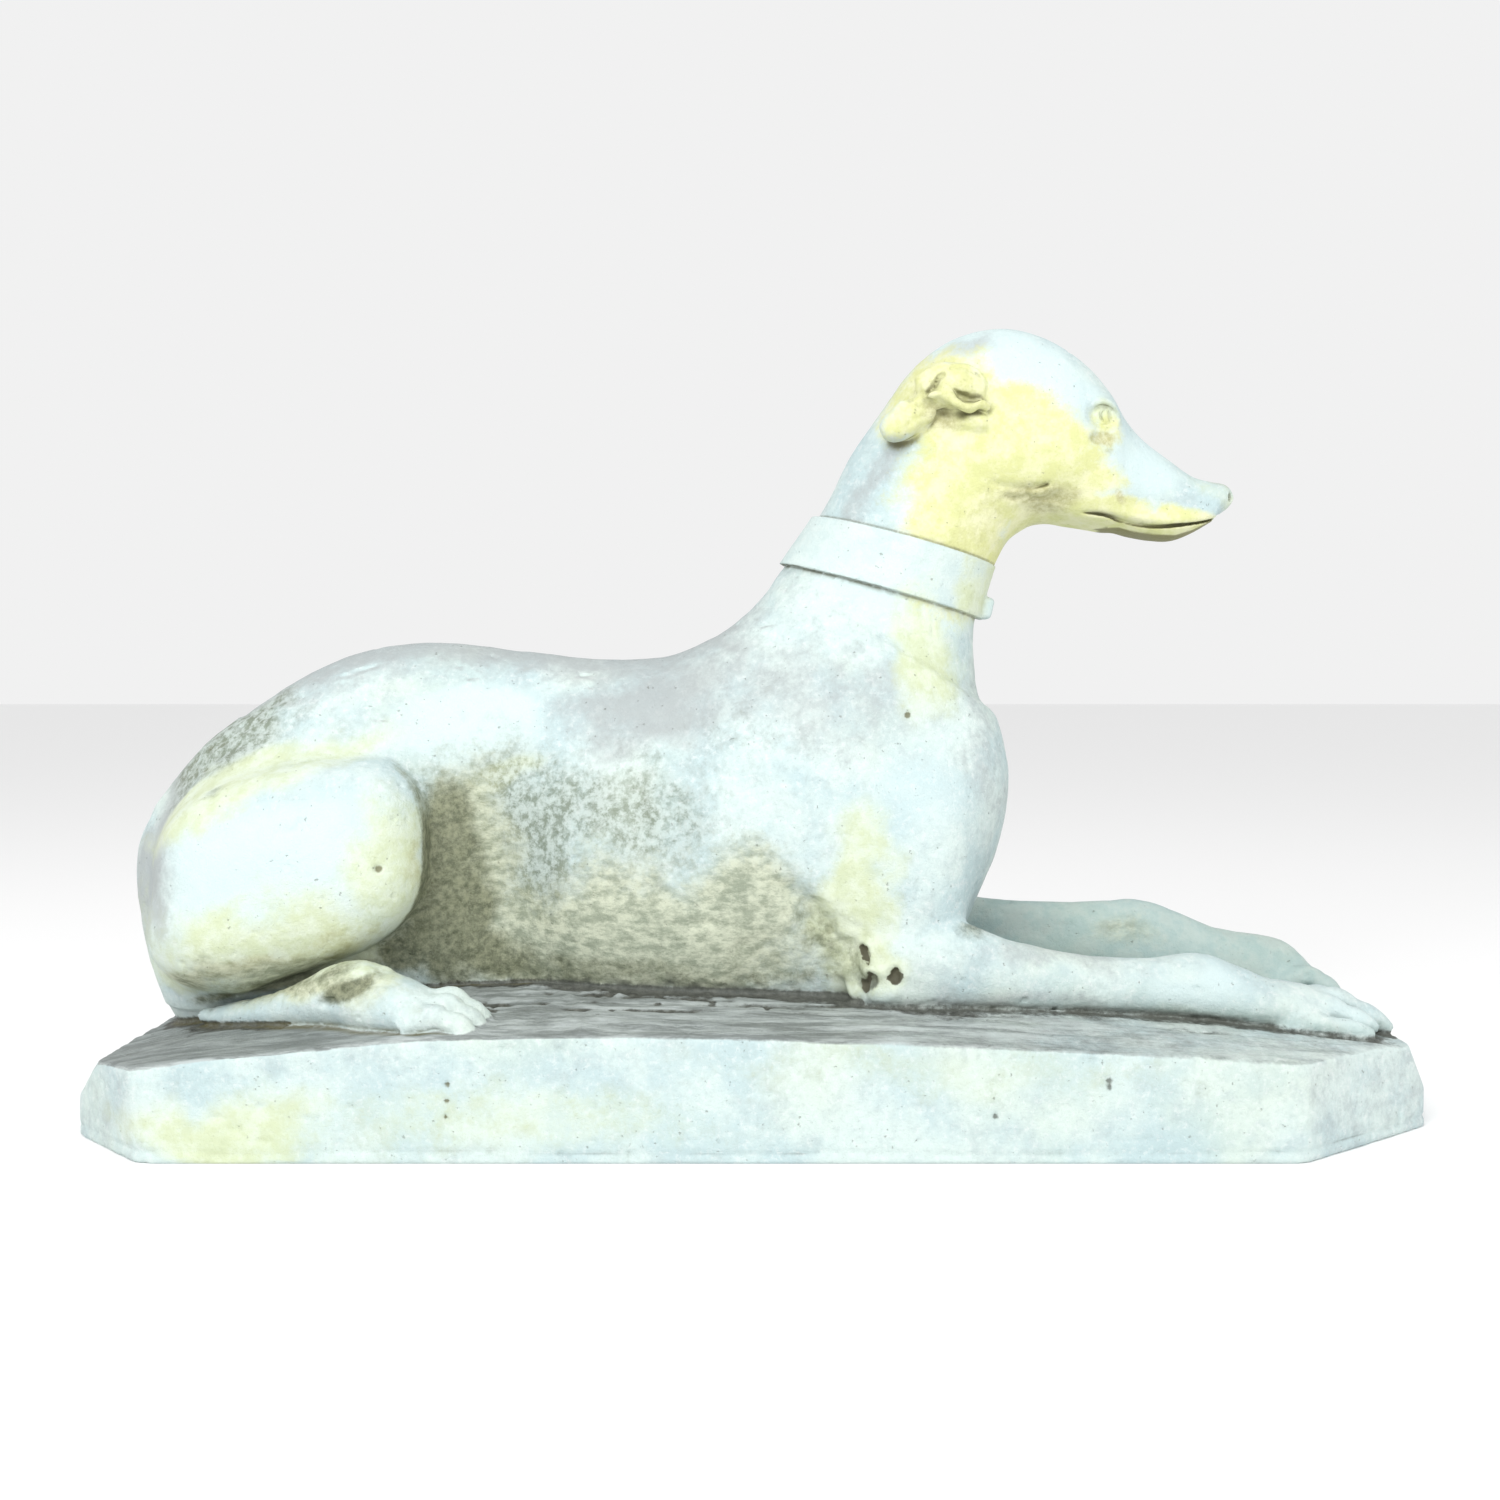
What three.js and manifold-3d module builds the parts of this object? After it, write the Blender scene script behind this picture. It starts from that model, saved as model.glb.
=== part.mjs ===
// A recumbent greyhound with a collar, lying on a low plinth with cut corners, cast as one solid.
// Millimetres, +Z up. The dog faces +X and its left and right sides are -Y and +Y.
// The origin is under the middle of the plinth, on the surface that it stands on.
import * as THREE from "three";
import { mergeVertices } from "three/addons/utils/BufferGeometryUtils.js";
import Module from "manifold-3d";

const wasm = await Module();
wasm.setup();

// Driving sizes of the figure
const figureLength = 860; // rump to the tips of the forepaws
const collarWidth = 38; // along the neck
const collarThickness = 4; // proud of the neck
const buckleSize = 20; // square block that closes the collar at the throat
const buckleProud = 5; // block proud of the collar

// Driving sizes of the plinth
const plinthHeight = 89; // at the highest point of its crowned top
const sideMargin = 8; // from the outside of a hind paw to the plinth's long edge
const rearOverhang = 14; // rump past the plinth's rear top edge
const frontMargin = 7; // forepaw tips to the plinth's front top edge
const rearFlare = 20; // how much further the rear end reaches at the foot than at the top
const frontFlare = 12;
const rearCorner = { long: 38, cross: 40 }; // cut corners, measured at the top
const frontCorner = { long: 94, cross: 75 };
const rearCornerFoot = { long: 62, cross: 61 }; // the same cuts measured at the foot
const frontCornerFoot = { long: 105, cross: 81 };
const footBand = 24; // upright band round the foot, below the flare of the ends
const crossCrown = 11; // fall of the top from its middle line to the long edges
const rearFall = 26; // fall of the long edges towards the ends
const frontFall = 23;

// The figure's free forms are written in 860ths of its length, heights above its bed.
const s = figureLength / 860;
const rumpX = figureLength * -0.5012;
const pawTipX = figureLength * 0.4884;
const pawOutsideY = figureLength * 0.1767;

// Closed surface through rings of the same number of points, closed at each end on a middle point.
function loft(rings) {
  const count = rings[0].length;
  const points = rings.flat();
  const faces = [];
  rings.slice(1).forEach((_, r) => {
    for (let i = 0; i < count; i++) {
      const a = r * count + i;
      const b = r * count + ((i + 1) % count);
      faces.push(a, b, b + count, a, b + count, a + count);
    }
  });
  const close = (ring, start, flip) => {
    const middle = ring.reduce((sum, p) => sum.add(p), new THREE.Vector3()).divideScalar(count);
    const tip = points.push(middle) - 1;
    for (let i = 0; i < count; i++) {
      const a = start + i;
      const b = start + ((i + 1) % count);
      faces.push(...(flip ? [tip, b, a] : [tip, a, b]));
    }
  };
  close(rings[0], 0, true);
  close(rings.at(-1), (rings.length - 1) * count, false);
  const geometry = new THREE.BufferGeometry().setFromPoints(points);
  geometry.setIndex(faces);
  return geometry;
}

// A closed geometry as a solid, with its faces turned outwards.
function solid(geometry) {
  const bare = geometry.clone();
  bare.deleteAttribute("normal");
  bare.deleteAttribute("uv");
  const merged = mergeVertices(bare, 1e-4);
  const triVerts = new Uint32Array(merged.index.array);
  const vertProperties = merged.attributes.position.array;
  const made = new wasm.Manifold(new wasm.Mesh({ numProp: 3, vertProperties, triVerts }));
  if (made.volume() > 0) return made;
  return new wasm.Manifold(new wasm.Mesh({ numProp: 3, vertProperties, triVerts: triVerts.reverse() }));
}

const joined = (solids) => solids.reduce((all, next) => all.add(next));
const curve = (points) => new THREE.CatmullRomCurve3(points, false, "catmullrom", 0.5);
const signedPower = (value, power) => Math.sign(value) * Math.abs(value) ** power;

// Trunk, neck and head as one skin. Each station cuts the profile from the upper outline (top x, z)
// to the lower outline (low x, z), is 2 * half wide, and is widest at the share "widest" of the cut.
const trunkStations = [
  // top x, top z, low x, low z, half, widest, roundness
  [-430, 84, -427, 60, 10, 0.5, 2.0], // back of the rump
  [-426, 100, -419, 20, 32, 0.48, 2.0],
  [-412, 123, -401, -30, 50, 0.45, 2.0],
  [-390, 147, -380, -47, 66, 0.45, 2.1],
  [-352, 181, -350, -49, 80, 0.46, 2.2], // haunches
  [-305, 210, -300, -49, 84, 0.48, 2.2],
  [-264, 225, -255, -49, 75, 0.5, 2.1],
  [-215, 228, -205, -49, 66, 0.5, 2.1], // loin
  [-158, 222, -150, -49, 65, 0.48, 2.1],
  [-105, 217, -90, -49, 71, 0.46, 2.1], // ribs
  [-62, 219, -30, -49, 79, 0.45, 2.1],
  [-34, 230, 40, -49, 84, 0.44, 2.1], // withers
  [-18, 240, 98, -44, 84, 0.44, 2.1],
  [-6, 250, 138, 19, 80, 0.46, 2.1],
  [2, 258, 165, 76, 74, 0.5, 2.0], // breast
  [8, 265, 177, 128, 69, 0.52, 2.0],
  [12, 271, 170, 173, 61, 0.52, 2.0],
  [14, 274, 157, 189, 56, 0.52, 2.0],
  [17, 278, 153.5, 216, 52, 0.5, 2.0],
];
const neckStations = [
  [21, 283, 154, 246, 48, 0.5, 2.0], // the collar's lower edge
  [48, 323, 166, 279, 46, 0.5, 2.0],
  [66, 358, 173, 294, 44, 0.5, 2.0],
  [88, 390.5, 179, 302, 45, 0.52, 2.1],
  [109.5, 420, 186, 307, 48, 0.55, 2.2], // back of the skull
  [137, 440, 194, 311, 50, 0.58, 2.3],
  [170, 447.5, 205, 312, 51, 0.58, 2.3],
  [200, 441, 218, 310, 49, 0.56, 2.3],
  [227, 424.5, 232, 308, 44, 0.54, 2.3],
  [246, 404.5, 243, 306, 39, 0.52, 2.2], // brow
  [257, 386, 252, 305.5, 33, 0.5, 2.2],
  [270, 371, 263, 302.5, 29, 0.48, 2.2],
  [287, 358, 276, 300.5, 26, 0.46, 2.3], // muzzle
  [305, 345.5, 291, 300, 23, 0.46, 2.4],
  [320, 341, 304, 304.5, 20, 0.48, 2.4],
  [329, 337.5, 317, 312, 15, 0.5, 2.2],
  [334, 331, 329, 322, 6, 0.5, 2.0], // nose
];
const bodyStations = [...trunkStations, ...neckStations];
const collarStation = trunkStations.length;

const upperLine = curve(bodyStations.map(([x, z]) => new THREE.Vector3(x, 0, z)));
const lowerLine = curve(bodyStations.map(([, , x, z]) => new THREE.Vector3(x, 0, z)));
const girth = curve(bodyStations.map(([, , , , half, widest, round]) => new THREE.Vector3(half, widest, round)));

// One ring of the body at a station number, which may lie between two stations, grown by "proud" mm.
function bodyRing(station, proud = 0, segments = 26) {
  const t = station / (bodyStations.length - 1);
  const top = upperLine.getPoint(t).multiplyScalar(s);
  const low = lowerLine.getPoint(t).multiplyScalar(s);
  const { x: half, y: widest, z: round } = girth.getPoint(t);
  const lean = Math.log(widest) / Math.log(0.5);
  const cut = top.clone().sub(low);
  const outwards = cut.clone().normalize();
  const ring = [];
  for (let i = 0; i < segments; i++) {
    const angle = (2 * Math.PI * i) / segments;
    const up = signedPower(Math.cos(angle), 2 / round);
    const side = signedPower(Math.sin(angle), 2 / round);
    const along = ((1 + up) / 2) ** lean;
    const point = low.clone().addScaledVector(cut, along).addScaledVector(outwards, proud * up);
    point.y = side * (half * s + proud);
    ring.push(point);
  }
  return ring;
}

function body() {
  const rings = [bodyRing(0)];
  for (let station = 1; station < bodyStations.length; station++) {
    const alongBack = station > 5 && station <= 10;
    if (station <= collarStation && !alongBack) rings.push(bodyRing(station - 0.5));
    rings.push(bodyRing(station));
  }
  return solid(loft(rings));
}

// The collar follows the neck's own rings. It is collarWidth wide along the middle of the neck.
function collar() {
  const middleOf = (station) => {
    const t = station / (bodyStations.length - 1);
    return upperLine.getPoint(t).add(lowerLine.getPoint(t)).multiplyScalar(s / 2);
  };
  const start = middleOf(collarStation);
  let end = collarStation;
  while (middleOf(end).distanceTo(start) < collarWidth) end += 0.01;
  const lower = bodyRing(collarStation, collarThickness);
  const upper = bodyRing(end, collarThickness);
  const band = solid(loft([lower, upper]));
  const throat = lower[lower.length / 2];
  const facing = upper[upper.length / 2].clone().sub(throat).normalize();
  const block = new THREE.BoxGeometry(buckleSize / 2, buckleSize, buckleSize);
  block.rotateY(Math.atan2(facing.x, facing.z));
  const centre = throat.clone().addScaledVector(facing, buckleSize * 0.6);
  centre.x += buckleProud - buckleSize / 4;
  block.translate(centre.x, centre.y, centre.z);
  return band.add(solid(block));
}

// A rounded mass: a sphere drawn out to half sizes, squared off by "round" and tilted in profile.
function mass([x, y, z], [halfX, halfY, halfZ], { tilt = 0, round = 2, segments = 20 } = {}) {
  const geometry = new THREE.SphereGeometry(1, segments, Math.round(segments * 0.6));
  const position = geometry.attributes.position;
  const point = new THREE.Vector3();
  for (let i = 0; i < position.count; i++) {
    point.fromBufferAttribute(position, i);
    const size = (Math.abs(point.x) ** round + Math.abs(point.y) ** round + Math.abs(point.z) ** round) ** (1 / round);
    point.divideScalar(size);
    position.setXYZ(i, point.x * halfX * s, point.y * halfY * s, point.z * halfZ * s);
  }
  geometry.rotateY(-THREE.MathUtils.degToRad(tilt));
  geometry.translate(x * s, y * s, z * s);
  return solid(geometry);
}

// A limb through stations [x, y, z, half width, half height], cut square to its own line.
function limb(stations, segments = 12, ringsEach = 1) {
  const line = curve(stations.map(([x, y, z]) => new THREE.Vector3(x, y, z).multiplyScalar(s)));
  const sizes = curve(stations.map(([, , , wide, high]) => new THREE.Vector3(wide, high, 0).multiplyScalar(s)));
  const rings = [];
  const steps = (stations.length - 1) * ringsEach;
  for (let r = 0; r <= steps; r++) {
    const t = r / steps;
    const middle = line.getPoint(t);
    const ahead = line.getTangent(t);
    const side = new THREE.Vector3(-ahead.y, ahead.x, 0).normalize();
    const up = ahead.clone().cross(side).normalize();
    const { x: wide, y: high } = sizes.getPoint(t);
    rings.push(
      Array.from({ length: segments }, (_, i) => {
        const angle = (2 * Math.PI * i) / segments;
        return middle
          .clone()
          .addScaledVector(side, Math.cos(angle) * wide)
          .addScaledVector(up, Math.sin(angle) * high);
      }),
    );
  }
  return solid(loft(rings));
}

// The same form on the dog's other side
const mirrored = (form) => form.mirror([0, 1, 0]);

// Toes side by side, each arched from the knuckle down to its tip. A toe is given by the reach and
// drop of its tip and the lift of its knuckle.
function toes({ knuckle, tips, spread, radius }) {
  return joined(
    tips.map(([reach, drop, lift], i) => {
      const across = (i - (tips.length - 1) / 2) * spread;
      const [x, y] = knuckle;
      const z = knuckle[2] + lift;
      return limb(
        [
          [x - 10, y + across * 0.85, z - 5, radius * 0.8, radius * 0.8],
          [x, y + across * 0.9, z, radius, radius],
          [x + reach * 0.45, y + across, z + drop * 0.4, radius * 0.95, radius],
          [x + reach * 0.8, y + across * 1.02, z + drop * 0.76, radius * 0.85, radius * 0.85],
          [x + reach, y + across * 1.02, z + drop, radius * 0.45, radius * 0.45],
        ],
        8,
      );
    }),
  );
}

function haunch() {
  const thigh = mass([-303, -76, 80], [87, 47, 66], { tilt: 15, round: 2.45, segments: 20 });
  const knee = mass([-250, -74, 111], [35, 38, 40], { tilt: 10, segments: 10 });
  const foot = limb([
    [-352, -114, -12, 9, 9],
    [-338, -118, -9, 16, 17],
    [-300, -124, -5, 19, 23],
    [-262, -130, -1, 20, 29],
    [-238, -133, -1, 22, 30],
    [-220, -135, -5, 23, 25],
    [-204, -136, -9, 22, 19],
    [-190, -136, -12, 18, 13],
  ]);
  const tips = [[22, -16, -2], [27, -18, 1], [28, -18, 1], [23, -16, -2]];
  const paw = toes({ knuckle: [-193, -134, 2], tips, spread: 11.2, radius: 8 });
  return joined([thigh, knee, foot, paw]);
}

function foreleg() {
  const upperArm = mass([106, -64, 62], [40, 27, 92], { tilt: -8, segments: 16 });
  const forearm = limb([
    [62, -70, 2, 12, 14],
    [80, -74, 8, 20, 26],
    [120, -73, 12, 20, 30],
    [161, -70, 6, 19, 24],
    [214, -67, 1, 18, 19.5],
    [261, -65, -1, 18, 19.5],
    [292, -64, -1, 20, 22.5],
    [314, -64, -6, 21, 20],
    [338, -64, -13, 23, 16.5],
    [364, -64, -17, 25, 15.5],
    [384, -64, -20, 23, 13],
  ]);
  const tips = [[33, -20, -1], [40, -24, 1], [51, -31, 8], [46, -29, 6]];
  return joined([upperArm, forearm, toes({ knuckle: [380, -64, -9], tips, spread: 11.5, radius: 8 })]);
}

// The far foreleg is held a little higher at the wrist than the near one.
function raisedForeleg() {
  const upperArm = mass([106, 64, 62], [40, 27, 92], { tilt: -8, segments: 16 });
  const forearm = limb([
    [62, 70, 2, 12, 14],
    [80, 74, 8, 20, 26],
    [120, 73, 14, 20, 30],
    [167, 70, 12, 20, 28],
    [220, 67, 10, 20, 27],
    [262, 65, 9, 21, 29],
    [282, 64, 8, 22, 31],
    [306, 64, 2, 22, 29],
    [332, 64, -5, 23, 26],
    [360, 64, -9, 25, 25],
    [384, 64, -13, 23, 21],
  ]);
  const tips = [[34, -28, 0], [42, -31, 1], [40, -31, 1], [32, -28, 0]];
  return joined([upperArm, forearm, toes({ knuckle: [380, 64, 1], tips, spread: 11.5, radius: 8.5 })]);
}

// A folded ear: its flap arches over the opening, a fold runs along the front and the tip lies back.
function ear() {
  const flap = mass([137, -43, 403], [23, 12, 19], { tilt: -6, round: 2.2, segments: 10 });
  const tip = limb([
    [128, -46, 396, 6, 9],
    [115, -49, 390, 8, 9],
    [103, -48, 381, 8, 9.5],
    [91, -41, 369, 4, 5],
  ], 8);
  const fold = limb([
    [126, -50, 393, 4, 4],
    [144, -52.5, 386, 5.5, 5],
    [157, -48, 378, 5, 6],
    [163, -43, 375, 3, 4],
  ], 8);
  return joined([flap, tip, fold]);
}

function eye() {
  const lids = mass([236, -30, 387], [10, 9, 8.5], { tilt: -20, segments: 10 });
  const browRidge = mass([230, -27, 396], [15, 12, 6], { tilt: -30, segments: 10 });
  return lids.add(browRidge);
}

// The line of the mouth, cut back into the head from each side.
function mouth() {
  const line = curve([
    [227, 318],
    [243, 313.5],
    [260, 310],
    [278, 308.5],
    [296, 309],
    [312, 312],
    [322, 317],
  ].map(([x, z]) => new THREE.Vector3(x * s, -40 * s, z * s)));
  const depth = 40 * s;
  const rings = line.getPoints(10).map((p) => {
    const gap = 1.5 * s;
    const reach = (28 - 19 * THREE.MathUtils.smoothstep(p.x, 240 * s, 325 * s)) * s;
    return [
      new THREE.Vector3(p.x, -depth, p.z - gap),
      new THREE.Vector3(p.x, -depth, p.z + gap),
      new THREE.Vector3(p.x, -reach + 6 * s, p.z),
    ];
  });
  return solid(loft(rings));
}

// A tapering tail that leaves the rump and lies round the far haunch, on the bed.
function tail() {
  return limb([
    [-398, 30, 8, 14, 15],
    [-405, 62, -6, 12, 14],
    [-392, 96, -12, 11, 13],
    [-356, 124, -12, 10, 12],
    [-310, 146, -13, 8, 10],
    [-272, 147, -13, 6, 8],
    [-246, 150, -14, 4, 6],
  ], 10);
}

function figure() {
  const near = [haunch(), ear(), eye()];
  const cheek = mass([184, -30, 360], [38, 19, 30], { tilt: -10, segments: 12 });
  const nose = mass([325.5, 0, 331], [8.5, 11, 8], { tilt: -24, segments: 10 });
  const flesh = joined([
    body(),
    ...near,
    ...near.map(mirrored),
    cheek,
    mirrored(cheek),
    nose,
    foreleg(),
    raisedForeleg(),
    tail(),
    collar(),
  ]);
  const lips = mouth();
  return flesh.subtract(lips).subtract(mirrored(lips));
}

// Height of the crowned top over a point of the plinth, above its foot.
const rearTop = rumpX + rearOverhang;
const frontTop = pawTipX + frontMargin;
const halfWidth = pawOutsideY + sideMargin;
const crestX = figureLength * -0.1395; // where the long edges are highest
function plinthTop(x, y) {
  const rearShare = Math.max(0, (crestX - x) / (crestX - rearTop));
  const frontShare = Math.max(0, (x - crestX) / (frontTop - crestX));
  const edge = plinthHeight - crossCrown - rearFall * rearShare ** 1.8 - frontFall * frontShare ** 1.5;
  const endFade = 1 - Math.max(rearShare, frontShare) ** 4;
  return edge + crossCrown * (1 - (y / halfWidth) ** 2) * endFade;
}

// The plinth's outline as seen from above, with the points that the crowned edges need between corners.
function plinthOutline(rear, front, rearCut, frontCut) {
  const corners = [
    [rear, halfWidth - rearCut.cross],
    [rear, -halfWidth + rearCut.cross],
    [rear + rearCut.long, -halfWidth],
    [front - frontCut.long, -halfWidth],
    [front, -halfWidth + frontCut.cross],
    [front, halfWidth - frontCut.cross],
    [front - frontCut.long, halfWidth],
    [rear + rearCut.long, halfWidth],
  ];
  const pointsOnEdge = [4, 2, 12, 2, 4, 2, 12, 2];
  return corners.flatMap(([x, y], i) => {
    const [nextX, nextY] = corners[(i + 1) % corners.length];
    return Array.from({ length: pointsOnEdge[i] }, (_, k) => {
      const share = k / pointsOnEdge[i];
      return new THREE.Vector2(x + (nextX - x) * share, y + (nextY - y) * share);
    });
  });
}

function plinth() {
  const foot = plinthOutline(rearTop - rearFlare, frontTop + frontFlare, rearCornerFoot, frontCornerFoot);
  const edge = plinthOutline(rearTop, frontTop, rearCorner, frontCorner);
  const middleX = (rearTop + frontTop) / 2;
  const onTop = (share) =>
    edge.map(({ x, y }) => {
      const px = middleX + (x - middleX) * share;
      return new THREE.Vector3(px, y * share, plinthTop(px, y * share));
    });
  const upright = [0, footBand].map((z) => foot.map(({ x, y }) => new THREE.Vector3(x, y, z)));
  const rings = [...upright, ...[1, 0.8, 0.55, 0.3].map(onTop)];
  return solid(loft(rings));
}

// The figure lies on the crown, and both are centred over the plinth's foot. Stone fills any pocket
// that the joined forms close in.
const whole = figure().translate([0, 0, plinthHeight]).add(plinth());
const filled = joined(whole.decompose().filter((part) => part.volume() > 0));
const footMiddle = (rearTop - rearFlare + frontTop + frontFlare) / 2;
const statue = filled.translate([-footMiddle, 0, 0]);

const { vertProperties, triVerts } = statue.getMesh();
const geometry = new THREE.BufferGeometry();
geometry.setAttribute("position", new THREE.BufferAttribute(vertProperties, 3));
geometry.setIndex(new THREE.BufferAttribute(triVerts, 1));
geometry.computeVertexNormals();

const castStone = new THREE.MeshStandardMaterial({ color: 0xd9e3dc, roughness: 0.9, metalness: 0 });
const mesh = new THREE.Mesh(geometry, castStone);
mesh.name = "greyhound_on_plinth";

const statueGroup = new THREE.Group();
statueGroup.add(mesh);
export default statueGroup;
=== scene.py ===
"""A weathered cast-stone greyhound with a collar, lying on a low plinth with cut corners."""

import math

import bpy
import numpy as np
import openvdb as vdb
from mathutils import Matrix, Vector


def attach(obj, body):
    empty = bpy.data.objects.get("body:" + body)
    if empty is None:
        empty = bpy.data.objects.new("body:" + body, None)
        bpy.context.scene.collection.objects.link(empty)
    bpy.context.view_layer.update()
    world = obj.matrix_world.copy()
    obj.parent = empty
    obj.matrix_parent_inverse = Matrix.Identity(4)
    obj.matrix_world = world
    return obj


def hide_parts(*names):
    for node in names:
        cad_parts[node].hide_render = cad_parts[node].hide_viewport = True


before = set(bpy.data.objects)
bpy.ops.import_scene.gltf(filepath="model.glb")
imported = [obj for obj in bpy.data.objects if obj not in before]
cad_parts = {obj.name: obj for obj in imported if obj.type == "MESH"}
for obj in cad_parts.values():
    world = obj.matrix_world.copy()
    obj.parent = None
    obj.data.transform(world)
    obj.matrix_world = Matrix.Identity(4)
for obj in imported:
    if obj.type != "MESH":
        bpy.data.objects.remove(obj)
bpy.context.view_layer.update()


# Sizes in millimetres, in the part's own frame: +X to the forepaws, -Y to the viewer, +Z up.
BED = 89.0  # height of the plinth's crown, on which the dog lies
COLLAR_WIDTH = 38.0
COLLAR_PROUD = 4.5
BUCKLE = 19.0
PLINTH = dict(rear=-417.0, front=427.0, half=160.0, rear_flare=20.0, front_flare=12.0, foot_band=24.0)
REAR_CUT = dict(top=(36.0, 40.0), foot=(60.0, 62.0))  # along and across the plinth
FRONT_CUT = dict(top=(94.0, 75.0), foot=(105.0, 81.0))
CROWN = dict(cross=11.0, rear=26.0, front=23.0, crest=-120.0)
ARRIS = 3.5  # wear of the plinth's edges
CORNER_ROUNDING = np.array([9, 9, 8, 4, 5, 5, 4, 8])[:, None]  # in the order of plinth_outline's corners
BED_SEAM = 3.5  # breadth of the blend between the dog and its bed
BRIGHT = 0.72  # share of the photo's brightness that is the stone's own

BODY_VOXEL = 1.7
HEAD_VOXEL = 0.95
BODY_BAND = 26  # how far from its surface the clay knows the distance
HEAD_BAND = 14
BODY_BOX = ((-446, -168, -8), (446, 168, 425))  # corners of the clay
PLINTH_BOX = (BODY_BOX[0], (446, 168, 120))
HEAD_BOX = ((5, -70, 320), (350, 70, 545))
MOST_TRIANGLES = 190000


def rise(value, low, high):
    """0 at low and 1 at high, straight between them and level beyond; low may be the greater."""
    return np.clip((value - low) / (high - low), 0, 1)


# Surfaces through stations

def through(rows, steps):
    """Rows of numbers as a smooth run through all of them, with the given steps from row to row."""
    rows = np.array(rows, float)
    ends = np.vstack([2 * rows[0] - rows[1], rows, 2 * rows[-1] - rows[-2]])
    t = (np.arange(steps) / steps)[:, None]
    runs = []
    for a, b, c, d in zip(ends, ends[1:], ends[2:], ends[3:]):
        start, end = (c - a) / 2, (d - b) / 2
        runs.append(
            b * (2 * t**3 - 3 * t**2 + 1)
            + start * (t**3 - 2 * t**2 + t)
            + c * (3 * t**2 - 2 * t**3)
            + end * (t**3 - t**2)
        )
    return np.vstack(runs + [rows[-1:]])


def loft(rings):
    """Closed surface through rings (rings, points, 3): its points, triangles and quads."""
    rings = np.asarray(rings, float)
    count, around = rings.shape[:2]
    points = np.vstack([rings.reshape(-1, 3), rings[0].mean(0), rings[-1].mean(0)])
    r, i = np.meshgrid(np.arange(count - 1), np.arange(around), indexing="ij")
    a = (r * around + i).ravel()
    b = (r * around + (i + 1) % around).ravel()
    quads = np.stack([a, b, b + around, a + around], 1)
    k = np.arange(around)
    last = (count - 1) * around
    first_cap = np.stack([(k + 1) % around, k, np.full(around, count * around)], 1)
    last_cap = np.stack([last + k, last + (k + 1) % around, np.full(around, count * around + 1)], 1)
    return points, np.vstack([first_cap, last_cap]), quads


def limb(stations, around=40, steps=6):
    """A limb through stations: x, y, z above the bed, half width and half height, cut square to its line."""
    run = through(stations, steps)
    middle = run[:, :3] + (0, 0, BED)
    ahead = np.gradient(middle, axis=0)
    ahead /= np.linalg.norm(ahead, axis=1, keepdims=True)
    side = np.stack([-ahead[:, 1], ahead[:, 0], 0 * ahead[:, 0]], 1)
    side /= np.linalg.norm(side, axis=1, keepdims=True)
    up = np.cross(ahead, side)
    angle = np.linspace(0, 2 * math.pi, around, endpoint=False)[None, :, None]
    wide, high = run[:, 3, None, None], run[:, 4, None, None]
    return loft(middle[:, None] + np.cos(angle) * wide * side[:, None] + np.sin(angle) * high * up[:, None])


def turned(points, tilt=0.0, yaw=0.0):
    """Points turned about their origin: tilt lifts +X, yaw swings +X towards +Y, both in degrees."""
    tilt, yaw = math.radians(tilt), math.radians(yaw)
    x, y, z = points.T
    x, z = x * math.cos(tilt) - z * math.sin(tilt), x * math.sin(tilt) + z * math.cos(tilt)
    x, y = x * math.cos(yaw) - y * math.sin(yaw), x * math.sin(yaw) + y * math.cos(yaw)
    return np.stack([x, y, z], 1)


def mass(centre, half, tilt=0.0, yaw=0.0, power=2.0, around=48):
    """A sphere drawn out to half sizes, squared off by power, turned, and placed above the bed."""
    turn = np.linspace(0, 2 * math.pi, around, endpoint=False)[None, :]
    fall = np.linspace(0, math.pi, around // 2 + 1)[1:-1, None]
    unit = np.stack([np.sin(fall) * np.cos(turn), np.sin(fall) * np.sin(turn), np.cos(fall) + 0 * turn], 2)
    unit = unit / (np.abs(unit) ** power).sum(2, keepdims=True) ** (1 / power)
    shaped = turned((unit * half).reshape(-1, 3), tilt, yaw) + centre + (0, 0, BED)
    points, triangles, quads = loft(shaped.reshape(*unit.shape[:2], 3))
    ends = turned(np.array([[0, 0, half[2]], [0, 0, -half[2]]], float), tilt, yaw) + centre + (0, 0, BED)
    points[-2:] = ends
    return points, triangles, quads


def as_is(surface):
    return surface


def mirrored(surface):
    points, triangles, quads = surface
    return points * (1, -1, 1), triangles[:, ::-1], quads[:, ::-1]


SIDES = (as_is, mirrored)  # forms are given for the near side


def blended(old, new, soft):
    """The lesser of two distances, with a smooth turn from one to the other."""
    near = np.clip(soft - np.abs(old - new), 0, None) / soft
    return np.minimum(old, new) - near * near * soft / 4


def eight_corners(cell, share):
    """Corners of the grid cell round each place, with their weights for a place at that share of the cell."""
    for corner in np.ndindex(2, 2, 2):
        yield cell + corner, np.prod(np.where(corner, share, 1 - share), axis=1)


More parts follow.
